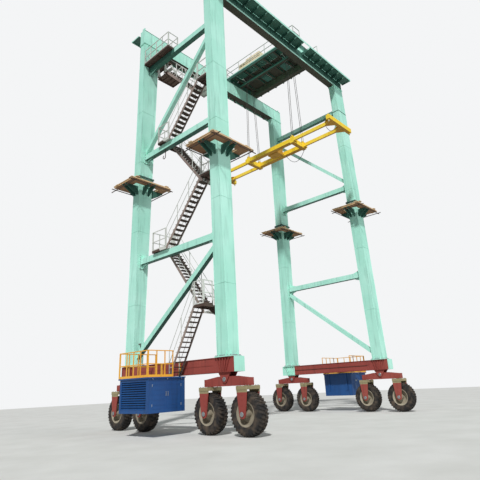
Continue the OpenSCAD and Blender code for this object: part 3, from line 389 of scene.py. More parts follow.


# Colour, faded colour, grime and rust of each finish, read off the photo
TONES = {
    "mint": ("#a4e0cd", "#b8ecdc", "#6f9a8c", "#7a5a44"),
    "deep_green": ("#2b564b", "#346456", "#182e28", "#3c2e24"),
    # Dark brown painted shade for faces that look down
    "soot": ("#34342a", "#403f34", "#22221c", "#4a3626"),
    "oxide": ("#8a3a33", "#9a4a40", "#4c2a26", "#5a3327"),
    "yellow": ("#f2cd2c", "#f7d84c", "#b08c2c", "#6b4a2a"),
    "ochre": ("#a87a22", "#b88a34", "#5c4218", "#4a3018"),
    "rail_yellow": ("#e3a22c", "#eab24a", "#a87828", "#6b4428"),
    "khaki": ("#8e8462", "#9c9270", "#5c5440", "#6e4a30"),
    "blue": ("#0f4078", "#184d88", "#0c2544", "#5c4436"),
    "grey": ("#c3c6bf", "#d0d2cb", "#83857d", "#80604a"),
    "scale": ("#43342d", "#554036", "#241c18", "#7a4a30"),
    "cream": ("#e6d4ae", "#efe0c2", "#a8946c", "#80604a"),
    "steel": ("#cfc9b8", "#dcd8ca", "#8c8676", "#80604a"),
    "dust": ("#8f8674", "#a39a86", "#4c443a", "#6e4a34"),
    "timber": ("#c9a67a", "#dcc09a", "#6b5136", "#5a4430"),
    # Darker timber: painted shade on board faces that look down
    "old_timber": ("#8a6448", "#a07a5a", "#44301f", "#5a4430"),
    "shade_green": ("#3d7466", "#47806f", "#274a40", "#3c2e24"),
    "olive": ("#4b5a47", "#576652", "#2c3128", "#4a3626"),
    "stringer": ("#85756e", "#98887f", "#463a34", "#7a4a30"),
}


def weathered_paint(name, tones, zones=(), roughness=0.5, rust_from=0.70):
    """Brushed enamel on steel: patches of faded colour, grime that runs down in streaks, and rust spots.

    Streaks are noise stretched twelve times along Z, about 150 mm wide, and spots are about 60 mm wide.
    Each zone is a mask with the tones it has there.
    """
    material, tree, shader = begin(name, roughness)
    paints = [linear(t) for t in TONES[tones]]
    for mask_of, other in zones:
        mask = mask_of(tree)
        paints = [mix(tree, mask, a, linear(b)) for a, b in zip(paints, TONES[other])]
    colour, faded, grime, rust = paints
    patches = ramp(tree, noise(tree, 0.45, 3), 0.38, 0.68)
    base = mix(tree, patches, colour, faded)
    streaks = ramp(tree, noise(tree, 6.0, 5, (1, 1, 0.08)), 0.52, 0.80, ((0, 0, 0, 1), (0.55, 0.55, 0.55, 1)))
    base = mix(tree, streaks, base, grime)
    spots = ramp(tree, noise(tree, 16.0, 6, rough=0.7), rust_from, rust_from + 0.07)
    near = ramp(tree, noise(tree, 0.9, 2), 0.45, 0.62)
    spots = mix(tree, near, (0, 0, 0, 1), spots)
    base = mix(tree, spots, base, rust)
    tree.links.new(base, shader.inputs["Base Color"])
    rough = add(tree, "MapRange", values={"To Min": roughness - 0.08, "To Max": roughness + 0.22},
                links={"Value": noise(tree, 3.0, 4)})
    tree.links.new(rough.outputs["Result"], shader.inputs["Roughness"])
    bump(tree, shader, noise(tree, 1.6, 4), 0.25, 0.02)
    return material


def above(z):
    """A mask that is 1 above a height."""
    return inside(z=(z, FAR))


def below(z):
    """A mask that is 1 below a height."""
    return inside(z=(-FAR, z))


def make_materials():
    """All finishes by name."""
    joint = inside(z=(JOINT_Z - FLANGE_T - 0.004, JOINT_Z + FLANGE_T + 0.004))
    web_shade = inside((-6.62, 6.62), (-3.075, -3.0), (GIRDER_LOW + 0.022, WALK_TOP + 0.01))
    shaded = inside((-FAR, -6.2), (0.25, 2.7), (19.2, 20.05))
    tube_highlight = inside(x=(1.9, 2.26), z=(22.5, 22.9))
    end_beam = inside(x=(3.2, FAR), z=(22.5, 22.93))
    middle_box = inside((TROLLEY_X - 0.31, TROLLEY_X + 0.31), (-0.4, 0.4), (15.7, 16.7))
    # Name, tones, zones, roughness and rust of each paint, as weathered_paint takes them
    paints = {
        # Alkyd enamel over primer, brushed and sun-bleached: soft sheen, chalky patches
        "mint": ("mint_alkyd_enamel", "mint"),
        # Legs: a dark band at the bolted flange joint is painted shade of the gaps between its gussets
        "legs": ("leg_enamel", "mint", [(joint, "deep_green")]),
        # The same enamel darkened as painted shade, on faces that look down and plates in the shade of a deck
        "deep_green": ("sooty_green_enamel", "deep_green"),
        # Girder webs under the front walkway have the darker paint: painted shade of the walkway
        "girder": ("girder_enamel", "mint", [(web_shade, "deep_green")]),
        # Bracing: the rear half of the highest left tie is painted dark, a painted shadow of its platform
        "bracing": ("bracing_enamel", "mint", [(shaded, "deep_green")]),
        # Trolley: frame dark as painted shade, tube lighter as a painted highlight, olive end beam, mint deck
        # edges, grey rails
        "trolley": ("trolley_enamel", "deep_green", [(tube_highlight, "shade_green"), (end_beam, "olive")]),
        # Deck plates below their top edge are darker: painted shade
        "deck": ("deck_enamel", "mint", [(above(FRAME_TOP + 0.0502), "grey"),
                                         (below(FRAME_TOP - 0.05), "deep_green")]),
        # Undersides: dark brown painted shade on faces that look down
        "soot": ("sooty_primer", "soot", (), 0.8),
        # Red lead primer, rolled on: flat, streaky, with bare patches
        "oxide": ("red_oxide_primer", "oxide", (), 0.7, 0.62),
        # Chrome yellow enamel on the spreader: fuller gloss; ochre primer on the middle box, bare lock tips
        "yellow": ("chrome_yellow_enamel", "yellow", [(middle_box, "ochre"), (below(15.68), "steel")],
                   0.38, 0.74),
        # Ochre on the spreader's faces that look down: painted shade
        "ochre": ("ochre_primer", "ochre", (), 0.7),
        # Khaki shop primer on forged crowns, red lead on the cheeks below
        "khaki": ("khaki_crown_red_cheeks", "khaki", [(below(1.47), "oxide")], 0.62, 0.60),
        # Blue machine enamel up to a power unit's deck, orange-yellow rails above it
        "blue": ("blue_machine_enamel", "blue", [(above(UNIT_DECK + 0.0015), "rail_yellow")], 0.42, 0.76),
        # Sprayed rims under yard dust
        "rim": ("dusty_rim_enamel", "dust", (), 0.65, 0.6),
        "grey": ("grey_zinc_paint", "grey", (), 0.5, 0.66),
        "platform": ("platform_steel", "scale", [(above(19.905), "grey")], 0.65, 0.62),
        "scale": ("rusted_mill_scale", "scale", (), 0.75, 0.55),
        # Cream sheet-steel cabinets
        "cream": ("cream_powder_coat", "cream", (), 0.45, 0.76),
        # Sawn boards on painted brackets, seen from the side; seen from below, the darker timber is painted
        # shade
        "old_timber": ("old_scaffold_boards", "old_timber",
                       [(below(BRACKET_TOP - 0.0148), "deep_green")], 0.85),
        "scaffold": ("scaffold_boards_on_green_brackets", "deep_green",
                     [(above(BRACKET_TOP), "timber")], 0.8),
    }
    m = {finish: weathered_paint(*values) for finish, values in paints.items()}
    m.update({"stair_%d" % (i + 1): stair_paint(i) for i in range(len(FLIGHTS))})
    m["walkway"] = walkway_paint()
    m["sill"] = sill_paint()
    m["tyre"] = tyre_rubber()
    m["timber"] = sawn_spruce()
    m["zinc"] = zinc_plate()
    # Greased drawn steel wire: dark, half gloss
    m["rope"] = two_tones("greased_wire_rope", 30.0, 3, ("#2c2a28", "#5a5650"), 0.5, 0.6)
    # Near-black matt: a sheet inside a louvre and the vent slots as painted shade, and black cables
    m["dark"] = two_tones("black_matt_cable_and_painted_shade", 8.0, 3, ("#121314", "#26282a"), 0.9)
    return m


def walkway_paint():
    """Walkway plates dark green as painted shade under the deck, with mint outer edges, rib ends and tips."""
    edges = [inside(y=(s * 3.8 - 0.035, s * 3.8 + 0.035), z=(0, FAR)) for s in (-1, 1)]
    ribs = [inside(y=(s * 3.66 - 0.12, s * 3.66 + 0.12), z=(0, WALK_TOP - 0.0095)) for s in (-1, 1)]
    tips = [inside(x=(s * 6.9 - 0.11, s * 6.9 + 0.11), z=(0, FAR)) for s in (-1, 1)]
    return weathered_paint("walkway_enamel", "deep_green", [(zone, "mint") for zone in edges + ribs + tips])


def sill_paint():
    """Red lead on the sills, with the legs' enamel on the end plates and on the right sill's rear end."""
    plates = [inside(y=(s * 3.78 - 0.049, s * 3.78 + 0.049), z=(SILL_LOW, SILL_TOP)) for s in (-1, 1)]
    rear_end = inside((5.0, FAR), (2.79, 3.9), (SILL_LOW - 0.05, SILL_TOP + 0.0001))
    zones = [(zone, "mint") for zone in plates + [rear_end]]
    return weathered_paint("red_oxide_primer_mint_ends", "oxide", zones, 0.7, 0.62)


def stair_paint(i):
    """Rusted mill scale on treads and landings, primer on the side panels, pale rails above."""
    x, y, z = FLIGHTS[i]
    zones = [(inside((a, a + 0.0175), (min(y), max(y)), (z[0] - 0.4, z[1] + 0.4)), "stringer")
             for a in (x[0] - 0.001, x[1] - 0.0165)]
    zones.append((over_flight(x, y, z), "grey"))
    return weathered_paint("stair_steel_%d" % (i + 1), "scale", zones, 0.65, 0.62)


def tyre_rubber():
    """Vulcanised rubber with yard dust: dark matt sides, pale brown dust in patches about 0.2 m wide."""
    material, tree, shader = begin("vulcanised_tyre_rubber", 0.82)
    dust = ramp(tree, noise(tree, 4.5, 5), 0.42, 0.75)
    colour = mix(tree, dust, linear("#1b1a1a"), linear("#5a4d40"))
    tree.links.new(colour, shader.inputs["Base Color"])
    bump(tree, shader, noise(tree, 60.0, 3), 0.3, 0.004)
    return material


def sawn_spruce():
    """Rough-sawn boards: grain lines about 12 mm apart along the board, grey weathering in patches."""
    material, tree, shader = begin("sawn_spruce_boards", 0.8)
    grain = noise(tree, 9.0, 6, (9, 1, 4))
    across = noise(tree, 9.0, 6, (1, 9, 4))
    both = mix(tree, 0.5, grain, across)
    tone = ramp(tree, both, 0.35, 0.7, (linear("#a8845c"), linear("#ecd2a8")))
    grey = ramp(tree, noise(tree, 1.2, 3), 0.45, 0.7)
    colour = mix(tree, grey, tone, linear("#b5a68c"))
    tree.links.new(colour, shader.inputs["Base Color"])
    bump(tree, shader, both, 0.4, 0.006)
    return material


def two_tones(name, scale, detail, tones, roughness, metallic=0.0):
    """A plain finish whose two tones are mixed by noise."""
    material, tree, shader = begin(name, roughness, metallic)
    tone = ramp(tree, noise(tree, scale, detail), 0.3, 0.7, [linear(t) for t in tones])
    tree.links.new(tone, shader.inputs["Base Color"])
    return material


def zinc_plate():
    """Hot-dip galvanised steel: pale grey metal with crystal patches about 20 mm wide."""
    material, tree, shader = begin("hot_dip_galvanised", 0.45, 0.85)
    coords = add(tree, "TexCoord").outputs["Object"]
    cells = add(tree, "TexVoronoi", values={"Scale": 45.0}, links={"Vector": coords})
    tone = ramp(tree, cells.outputs["Distance"], 0.0, 0.8, (linear("#8c9294"), linear("#b9bfc1")))
    tree.links.new(tone, shader.inputs["Base Color"])
    return material


MATERIALS = {}

# Finish of each CAD node, then of its faces that look down and of those that look up, where they differ; the
# darker finishes below are painted shade
FINISHES = {
    "legs_lower": ["legs"],
    "legs_upper": ["legs"],
    "bracing": ["bracing", "deep_green"],
    "girders": ["girder", "soot"],
    "walkways": ["walkway", "deep_green", "mint"],
    "trolley_frame": ["trolley", "soot", "mint"],
    "trolley_deck": ["deck", "deep_green"],
    "sills": ["sill"],
    "scaffolds": ["scaffold", "old_timber"],
    "top_platform": ["platform"],
    "power_unit_left": ["blue"],
    "power_unit_right": ["blue"],
    "trolley_machinery": ["grey"],
    "trolley_cabinets": ["cream"],
    "hoist_ropes": ["rope"],
    "spreader_frame": ["yellow", "ochre"],
    "spreader_end_front": ["yellow", "ochre"],
    "spreader_end_rear": ["yellow", "ochre"],
}
FINISHES.update({"stair_%d" % (i + 1): ["stair_%d" % (i + 1)] for i in range(len(FLIGHTS))})
FINISHES.update({"equaliser_" + name: ["oxide"] for name, _, _ in CORNERS})
FINISHES.update({kind + name: [finish] for name, _, _, _ in WHEELS
                 for kind, finish in (("fork_", "khaki"), ("wheel_", "rim"))})


def paint(node, name, under=None, over=None):
    """Gives a CAD node one finish, and its faces that look down or up another if asked; the darker finishes
    below are painted shade.

    A face looks down or up where the z of its normal is beyond 0.75, and no z is beyond 1.
    """
    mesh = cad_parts[node].data
    mesh.materials.clear()
    normals = np.zeros(3 * len(mesh.polygons))
    mesh.polygons.foreach_get("normal", normals)
    rise = normals.reshape(-1, 3)[:, 2]
    slots = np.zeros(len(rise), dtype=int)
    for finish, chosen in ((name, rise < 2), (under, rise < -0.75), (over, rise > 0.75)):
        if finish:
            slots[chosen] = len(mesh.materials)
            mesh.materials.append(MATERIALS[finish])
    mesh.polygons.foreach_set("material_index", slots)


# Settings

class CraneSettings(bpy.types.PropertyGroup):
    """Sizes that a user may change."""
    bolt_radius: bpy.props.FloatProperty(
        name="Bolt radius", description="Corner radius of a flange bolt head",
        default=0.024, min=0.01, max=0.03, unit="LENGTH")
    seam_radius: bpy.props.FloatProperty(
        name="Seam radius", description="Radius of a weld bead",
        default=0.011, min=0.004, max=0.02, unit="LENGTH")
    lugs: bpy.props.IntProperty(
        name="Tread lugs", description="Lugs on each side of one tyre", default=34, min=12, max=60)
    plank_width: bpy.props.FloatProperty(
        name="Plank width", description="Width of a scaffold plank",
        default=0.21, min=0.12, max=0.3, unit="LENGTH")
    seed: bpy.props.IntProperty(
        name="Seed", description="Start of the random draws for the planks", default=7)


class StageSettings(bpy.types.PropertyGroup):
    """Camera and light."""
    camera: bpy.props.FloatVectorProperty(
        name="Camera", description="Place of the camera", size=3,
        default=(-19.0, -15.87, 1.68), subtype="TRANSLATION", unit="LENGTH")
    yaw: bpy.props.FloatProperty(
        name="Yaw", description="View direction from +Y towards +X, in degrees", default=47.34)
    pitch: bpy.props.FloatProperty(
        name="Pitch", description="View direction above level, in degrees", default=20.84)
    roll: bpy.props.FloatProperty(
        name="Roll", description="Turn of the camera about its view, in degrees", default=-2.70)
    focal: bpy.props.FloatProperty(
        name="Focal length", description="Lens in millimetres on a 36 mm sensor",
        default=33.58, min=10, max=200)
    shift: bpy.props.FloatVectorProperty(
        name="Shift", description="Shift of the picture, as a share of its width", size=2,
        default=(0.0026, -0.0509))
    sun: bpy.props.FloatProperty(
        name="Sun", description="Strength of the main lamp", default=3.1, min=0)


# Operators

class CRANE_OT_paint(bpy.types.Operator):
    """Gives every CAD node its finish."""
    bl_idname = "crane.paint"
    bl_label = "Paint the frame"

    def execute(self, context):
        for node, finishes in FINISHES.items():
            paint(node, *finishes)
        return {"FINISHED"}


def tyre_parts(lugs):
    """Carcass and lugs of a tyre about the x axis; radius 0.75, width 0.46."""
    side = [(0.400, 0.190), (0.430, 0.216), (0.490, 0.226), (0.500, 0.232), (0.510, 0.228), (0.560, 0.233),
            (0.620, 0.231), (0.680, 0.213), (0.708, 0.180), (0.716, 0.100), (0.718, 0.0)]
    parts = [lathe(side + [(r, -x) for r, x in side[-2::-1]], 48)]
    # x, angle and outer radius of a lug from the middle to the shoulder; its root lies inside the carcass
    steps = [(0.018, 0.075, 0.750), (0.150, 0.038, 0.748), (0.215, 0.0, 0.722), (0.228, -0.005, 0.680)]
    root = 0.668
    wide = math.pi / lugs * 0.5
    n = len(steps)
    faces = grid_faces(n, 4) + [(0, 1, 2, 3), tuple(range(4 * n - 1, 4 * n - 5, -1))]
    for s in (-1, 1):
        corners = [(r, lean + k * wide, s * x) for x, lean, top in steps
                   for r, k in ((top, -1), (top, 1), (root, 1), (root, -1))]
        ring = [(r * math.cos(t), r * math.sin(t), x) for r, t, x in corners]
        parts.append(stamp(solid(ring, faces), around(lugs, np.eye(4), 180 / lugs if s > 0 else 0)))
    verts, faces = join(parts)
    return verts @ turn("y", 90)[:3, :3].T, faces


def rim_parts():
    """A dished rim with hub and ten nuts about the x axis."""
    outer = [(0.350, 0.170), (0.385, 0.207), (0.425, 0.224), (0.432, 0.214), (0.400, 0.185)]
    profile = [(0.062, 0.295), (0.126, 0.295), (0.130, 0.100), (0.300, 0.067)] + outer
    profile += [(r, -x) for r, x in outer[::-1]]
    profile += [(0.300, -0.020), (0.130, -0.020), (0.126, -0.295), (0.062, -0.295)]
    nuts = stamp(bolt(0.020, 0.03), around(10, move(0.215, 0, 0.084)))
    verts, faces = join([lathe(profile, 40), nuts])
    return verts @ turn("y", 90)[:3, :3].T, faces


class CRANE_OT_wheels(bpy.types.Operator):
    """Makes the tyres with tread lugs and the dished rims in place of the plain wheels."""
    bl_idname = "crane.wheels"
    bl_label = "Wheels"

    def execute(self, context):
        tyre, rim = tyre_parts(context.scene.crane.lugs), rim_parts()
        for name, sx, sy, e in WHEELS:
            centre = [sx * SILL_X, sy * (PIVOT_Y + e * ARM), AXLE_Z]
            body = "wheel_" + name
            for kind, (verts, faces), finish in (("tyre_", tyre, "tyre"), ("rim_", rim, "rim")):
                obj = mesh_object(kind + name, (verts + centre, faces), finish, body)
                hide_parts(body)
        return {"FINISHED"}


def flange_bolts(z, up, radius):
    """Bolts round every leg on a flange face at z, clear of the gussets at a fifth of each side."""
    xo, xi, yo, yi = leg_faces(z)
    along = np.array([-0.045, 0.08, 0.30, 0.40, 0.50, 0.60, 0.70, 0.92])
    xs, ys = xi + (xo - xi) * along, yi + (yo - yi) * along
    off = 0.042
    places = [(x, y) for y in (yi - off, yo + off) for x in xs]
    places += [(x, y) for x in (xi - off, xo + off) for y in ys]
    flip = turn("x", 0 if up else 180)
    spots = [move(sx * x, sy * y, z) @ flip for sx, sy in QUARTERS for x, y in places]
    return stamp(bolt(radius, 0.026), spots)


def tie_bolts():
    """Two rows of bolts on the end plates of the ties; the highest plates end at the top of their tie."""
    places = []
    for z in TIES:
        x = (leg_faces(z)[0] + leg_faces(z)[1]) / 2
        heights = [-0.33, -0.22, *row(-0.11, 0.12, 0.11)] + ([] if z == TIES[2] else [0.22, 0.33])
        for h in heights:
            y = leg_faces(z + h)[3] - 0.030
            places += [move(sx * x + k * 0.155, sy * y, z + h) @ turn("x", 90 * sy)
                       for sx, sy in QUARTERS for k in (-1, 1)]
    return stamp(bolt(0.018, 0.02), places)


class CRANE_OT_fasteners(bpy.types.Operator):
    """Bolts on the leg flanges and on the end plates of the ties."""
    bl_idname = "crane.fasteners"
    bl_label = "Flange bolts"

    def execute(self, context):
        r = context.scene.crane.bolt_radius
        flanges = [(SILL_TOP + FLANGE_T, True), (JOINT_Z + FLANGE_T, True), (JOINT_Z - FLANGE_T, False)]
        parts = [flange_bolts(z, up, r) for z, up in flanges]
        mesh_object("flange_bolts", join(parts + [tie_bolts()]), "zinc", "portal")
        return {"FINISHED"}


def leg_ring(sx, sy, z, radius):
    """Four beads round a leg at height z, one along each face."""
    xo, xi, yo, yi = leg_faces(z)
    loop = [(xo, yo), (xi, yo), (xi, yi), (xo, yi)]
    return [bar((sx * a[0], sy * a[1], z), (sx * b[0], sy * b[1], z), radius, 6)
            for a, b in zip(loop, loop[1:] + loop[:1])]


def leg_corners(sx, sy, radius):
    """Beads along the four corners of a leg, below and above its joint."""
    beads = []
    for z0, z1 in ((SILL_TOP + FLANGE_T, JOINT_Z - FLANGE_T), (JOINT_Z + FLANGE_T, LEG_TOP)):
        a, b = leg_faces(z0), leg_faces(z1)
        beads += [bar((sx * a[i], sy * a[j], z0), (sx * b[i], sy * b[j], z1), radius, 6)
                  for i in (0, 1) for j in (2, 3)]
    return beads


class CRANE_OT_seams(bpy.types.Operator):
    """Weld beads round the legs and along their corners, and two cable hooks on the left side."""
    bl_idname = "crane.seams"
    bl_label = "Weld seams"

    def execute(self, context):
        r = context.scene.crane.seam_radius
        # The ring on the front right leg is a thicker bead in dark green
        mesh_object("dark_ring_seam", join(leg_ring(1, -1, DARK_RING, 2.2 * r)), "deep_green", "portal")
        beads = [b for sx, sy in QUARTERS for z in RING_SEAMS for b in leg_ring(sx, sy, z, r)]
        beads += [b for sx, sy in QUARTERS for b in leg_corners(sx, sy, 0.7 * r)]
        mesh_object("leg_seams", join(beads), "mint", "portal", True)
        # One hook hangs under the middle tie, the other from an arm on the inner face of the rear leg
        arm = (-6.17, 2.68, 3.76)
        t = np.linspace(0, 1.35 * math.pi, 15)
        bow = [(0, 0.1 - 0.1 * math.cos(a), -0.38 - 0.1 * math.sin(a)) for a in t]
        hook = tube([(0, 0, 0), (0, 0, -0.19)] + bow, 0.02, 10)
        hooks = stamp(hook, [move(-6.125, 1.05, 13.562), move(*arm) @ move(0, 0, 0.02)])
        mesh_object("leg_hooks", hooks, "scale", "portal", True)
        x, y, z = arm
        hook_arm = bar((x, y - 0.02, z), (x, y + 0.15, z), 0.025, 10)
        mesh_object("leg_hook_arm", hook_arm, "scale", "portal", True)
        return {"FINISHED"}


class CRANE_OT_running_gear(bpy.types.Operator):
    """Caps on pivot pins and axles, crown bolts, ribs on the fork cheeks and a sill stiffener, dark as a
    painted shadow line.
    """
    bl_idname = "crane.running_gear"
    bl_label = "Running gear fittings"

    def execute(self, context):
        inner = SILL_X - 0.25
        # A thin stiffener on the right sill's inner face, dark as the painted shadow line under it
        stiffener = box_part((inner - 0.03, -2.45, 2.466), (inner + 0.0015, 2.76, 2.482), 0.002)
        mesh_object("sill_stiffener_painted_shadow", stiffener, "scale", "portal")
        rim = [(0.078, 0), (0.084, 0.004), (0.084, 0.010), (0.076, 0.015)]
        disc = lathe([(POLE, 0), *rim, (POLE, 0.015)], 24)
        pin_cap = join([disc, stamp(bolt(0.010, 0.012), around(6, move(0.055, 0, 0.015)))])
        places = [move(sx * SILL_X + k * PIN_END, sy * PIVOT_Y, PIVOT_Z) @ turn("y", 90 * k)
                  for sx, sy in QUARTERS for k in (-1, 1)]
        mesh_object("pivot_caps", stamp(pin_cap, places), "zinc", "portal")
        for name, sx, sy, e in WHEELS:
            x, y = sx * SILL_X, sy * (PIVOT_Y + e * ARM)
            caps = stamp(pin_cap, [move(x + k * AXLE_END, y, AXLE_Z) @ turn("y", 90 * k) for k in (-1, 1)])
            studs = stamp(bolt(0.016, 0.02), [move(x + a, y + b, CROWN_TOP) for a in (-0.33, -0.2, 0.2, 0.33)
                                              for b in (-0.2, 0.2)])
            mesh_object("axle_caps_" + name, join([caps, studs]), "zinc", "fork_" + name)
            cheeks = [x + k * 0.365 for k in (-1, 1)]
            ribs = [box_part((c - 0.006, y - 0.06, z), (c + 0.006, y + 0.06, z + 0.02))
                    for c in cheeks for z in (1.02, 1.20, 1.38)]
            mesh_object("cheek_ribs_" + name, join(ribs), "oxide", "fork_" + name)
        return {"FINISHED"}


def unit_doors():
    """Two ribbed doors in the front recess of the left power unit, with their handles and hinges."""
    face, low, high = -0.947, 1.0, 2.0
    left, middle, right = -8.10, -7.40, -6.70
    doors, metal = [], []
    for x0, x1 in ((left + 0.005, middle - 0.005), (middle + 0.005, right - 0.005)):
        doors.append(box_part((x0, face, low + 0.006), (x1, face + 0.010, high - 0.006), 0.003))
        doors += [box_part((x0 + 0.05, face - 0.007, z), (x1 - 0.05, face + 0.001, z + 0.022), 0.003)
                  for z in row(1.14, 1.86, 0.18)]
    handles = (middle - 0.06, middle + 0.038)
    metal += [box_part((x, face - 0.028, 1.46), (x + 0.022, face - 0.016, 1.62), 0.004) for x in handles]
    metal += [bar((x + 0.011, face, z), (x + 0.011, face - 0.02, z), 0.008) for x in handles
              for z in (1.48, 1.60)]
    metal += [bar((x, face - 0.006, z), (x, face - 0.006, z + 0.09), 0.011) for x in (left, right)
              for z in (1.10, 1.80)]
    return doors, metal


def unit_service_side():
    """Two hatches at the rear of the left power unit, with filler cap, hinges and sight pipe."""
    face = 0.949
    hatches = [box_part((x0, face, 1.10), (x1, face + 0.009, 1.90), 0.003)
               for x0, x1 in ((-8.05, -7.35), (-7.25, -6.75))]
    metal = [bar((-7.0, face + 0.006, 1.70), (-7.0, face + 0.041, 1.70), 0.05, 16)]
    metal += [bar((x, face + 0.015, z), (x, face + 0.015, z + 0.09), 0.011) for x in (-8.05, -7.25)
              for z in (1.2, 1.7)]
    pipe = [(0.955, 1.25), (0.99, 1.25), (0.995, 1.27), (0.995, 1.50), (0.99, 1.52), (0.955, 1.52)]
    metal.append(tube([(-6.9, y, z) for y, z in pipe], 0.008))
    return hatches, metal


class CRANE_OT_power_units(bpy.types.Operator):
    """Doors, hatches, fittings and a near-black sheet as painted shade inside the louvres of both power
    units.
    """
    bl_idname = "crane.power_units"
    bl_label = "Power unit fittings"

    def execute(self, context):
        doors, metal = unit_doors()
        hatches, rear_metal = unit_service_side()
        # Tie-down eyes under the deck edge
        eyes = [bar((x, s * 0.97, 2.085), (x, s * 0.99, 2.085), 0.02, 12) for x in (-8.1, -7.4, -6.7)
                for s in (-1, 1)]
        # A near-black sheet behind the louvre slats: painted shade inside the louvre
        louvre_shade_sheet = box_part((-8.2525, -0.82, 1.005), (-8.2500, 0.82, 1.995), 0.0005)
        kinds = [("doors_", join(doors + hatches), "blue"),
                 ("fittings_", join(metal + rear_metal + eyes), "zinc"),
                 ("louvre_painted_shade_", louvre_shade_sheet, "dark")]
        # The right unit is the left one turned about the crane's middle
        for side, angle in (("left", 0), ("right", 180)):
            for kind, part, finish in kinds:
                mesh_object("power_unit_" + kind + side, stamp(part, [turn("z", angle)]), finish, "portal")
        return {"FINISHED"}


def loose_plank(rng, half, ends, width, angle, lean, place):
    """A board that reaches past each half length by a random end, turned off its angle by up to a lean."""
    start, over = rng.uniform(*ends, 2)
    yaw = turn("z", angle + rng.uniform(-lean, lean))
    plank = box_part((-half - start, -width / 2, 0), (half + over, width / 2, 0.036), 0.003)
    return stamp(plank, [place @ yaw])


class CRANE_OT_scaffolds(bpy.types.Operator):
    """Loose planks with uneven ends on the scaffold rings, and ledger tubes under the brackets."""
    bl_idname = "crane.scaffolds"
    bl_label = "Scaffold planks"

    def execute(self, context):
        rng = np.random.default_rng(context.scene.crane.seed)
        w = context.scene.crane.plank_width
        tube_r = 0.024
        planks, tubes = [], []
        for sx, sy in QUARTERS:
            centre = move(sx * RING_X, sy * RING_Y, 0)
            for s in (-1, 1):
                for k in (-1, 1):
                    place = centre @ move(0, s * 0.685 + k * 0.118, RING_Z)
                    planks.append(loose_plank(rng, 1.2, (-0.12, 0.22), w, 0, 1.5, place))
                for k in (-1, 0, 1):
                    place = centre @ move(s * 0.96 + k * 0.15, 0, RING_Z + (0.037 if k else 0.074))
                    planks.append(loose_plank(rng, 0.80, (-0.05, 0.2), w, 90, 2.0, place))
                start, over = rng.uniform(0.05, 0.3, 2)
                y, z = s * 0.895, BRACKET_TOP - 0.0868
                along = bar((-1.2 - start, y, z), (1.2 + over, y, z), tube_r)
                x, z = s * 1.16, BRACKET_TOP - 0.1368
                across = bar((x, -0.95 - over, z), (x, 0.95 + start, z), tube_r)
                tubes += [stamp(along, [centre]), stamp(across, [centre])]
        mesh_object("scaffold_planks", join(planks), "timber", "portal")
        mesh_object("scaffold_tubes", join(tubes), "scale", "portal", True)
        return {"FINISHED"}


class CRANE_OT_girder_fittings(bpy.types.Operator):
    """Cable hooks under the rear girder, a drip strip on the front one, rail clips and walkway edge bolts."""
    bl_idname = "crane.girder_fittings"
    bl_label = "Girder fittings"

    def execute(self, context):
        hook = prism([(-0.04, 0), (-0.04, -0.20), (0.14, -0.20), (0.14, -0.12), (0.09, -0.12), (0.09, -0.155),
                      (0.03, -0.155), (0.03, 0)], 0.05)
        places = [move(x, GIRDER_Y + GIRDER_HALF - 0.005, GIRDER_LOW) @ turn("x", 90)
                  for x in 1.65 + 1.08 * np.arange(-6, 4)]
        mesh_object("cable_hooks", stamp(hook, places), "scale", "portal")
        y, z = -GIRDER_Y - GIRDER_HALF, GIRDER_LOW - 0.004
        strip = box_part((-GIRDER_X, y - 0.006, z), (GIRDER_X, y + 0.001, z + 0.104), 0.002)
        mesh_object("drip_strip", strip, "mint", "portal")
        clip_t = 0.02
        clips = [move(x, s * (GIRDER_Y + t * 0.057), GIRDER_TOP) for x in row(-6.3, 6.3, 0.6) for s in (-1, 1)
                 for t in (-1, 1)]
        parts = [stamp(box_part((-0.03, -0.022, 0), (0.03, 0.022, clip_t), 0.004), clips),
                 stamp(bolt(0.011, 0.012), [m @ move(0, 0, clip_t) for m in clips])]
        mesh_object("rail_clips", join(parts), "zinc", "portal")
        places = [move(x, s * WALK_EDGE, WALK_TOP - 0.03) @ turn("x", -90 * s) for x in row(-6.6, 6.6, 0.716)
                  for s in (-1, 1)]
        mesh_object("walkway_edge_bolts", stamp(bolt(0.010, 0.010), places), "zinc", "portal")
        return {"FINISHED"}


def drum_ropes():
    """Rope turns on both drums: 24 rings at a pitch of 30 mm along y."""
    turns = []
    for k in range(24):
        z = -0.36 + 0.03 * k
        turns += [(0.288, z), (0.305, z + 0.004), (0.314, z + 0.014), (0.305, z + 0.024)]
    coil = lathe(turns + [(0.284, 0.362), (0.284, -0.362)], 28)
    return stamp(coil, [move(TROLLEY_X, s * HOIST_Y, DRUM_Z) @ turn("x", -90) for s in (-1, 1)])


def motor_fins():
    """Nine cooling fins round each of the two motors."""
    low, high = 0.131, 0.150
    fins = []
    for z in 0.03 * np.arange(9):
        fins += [(low, z), (high, z), (high, z + 0.008), (low, z + 0.008)]
    fin = lathe(fins + [(0.128, 0.25), (0.128, -0.002)], 20)
    return stamp(fin, [move(2.25, y, 23.36) @ turn("x", -90) for y in (0.44, -0.69)])


def trolley_bolts():
    """Bolts round the couplings of the main tube, and caps on the axles of the runners."""
    rings = [move(TROLLEY_X, y + 0.07 * s, 22.71) @ turn("x", -90 * s) @ m for y in (-1.7, 2.1)
             for s in (-1, 1) for m in around(8, move(0.145, 0, 0))]
    ends = [move(FRAME_X + t * 1.095, s * GIRDER_Y + u * 0.145, 22.7203) @ turn("x", -90 * u)
            for s in (-1, 1) for t in (-1, 1) for u in (-1, 1)]
    return join([stamp(bolt(0.011, 0.014), rings), stamp(cap(0.06, 0.012, 0.05, 0.016, 20), ends)])


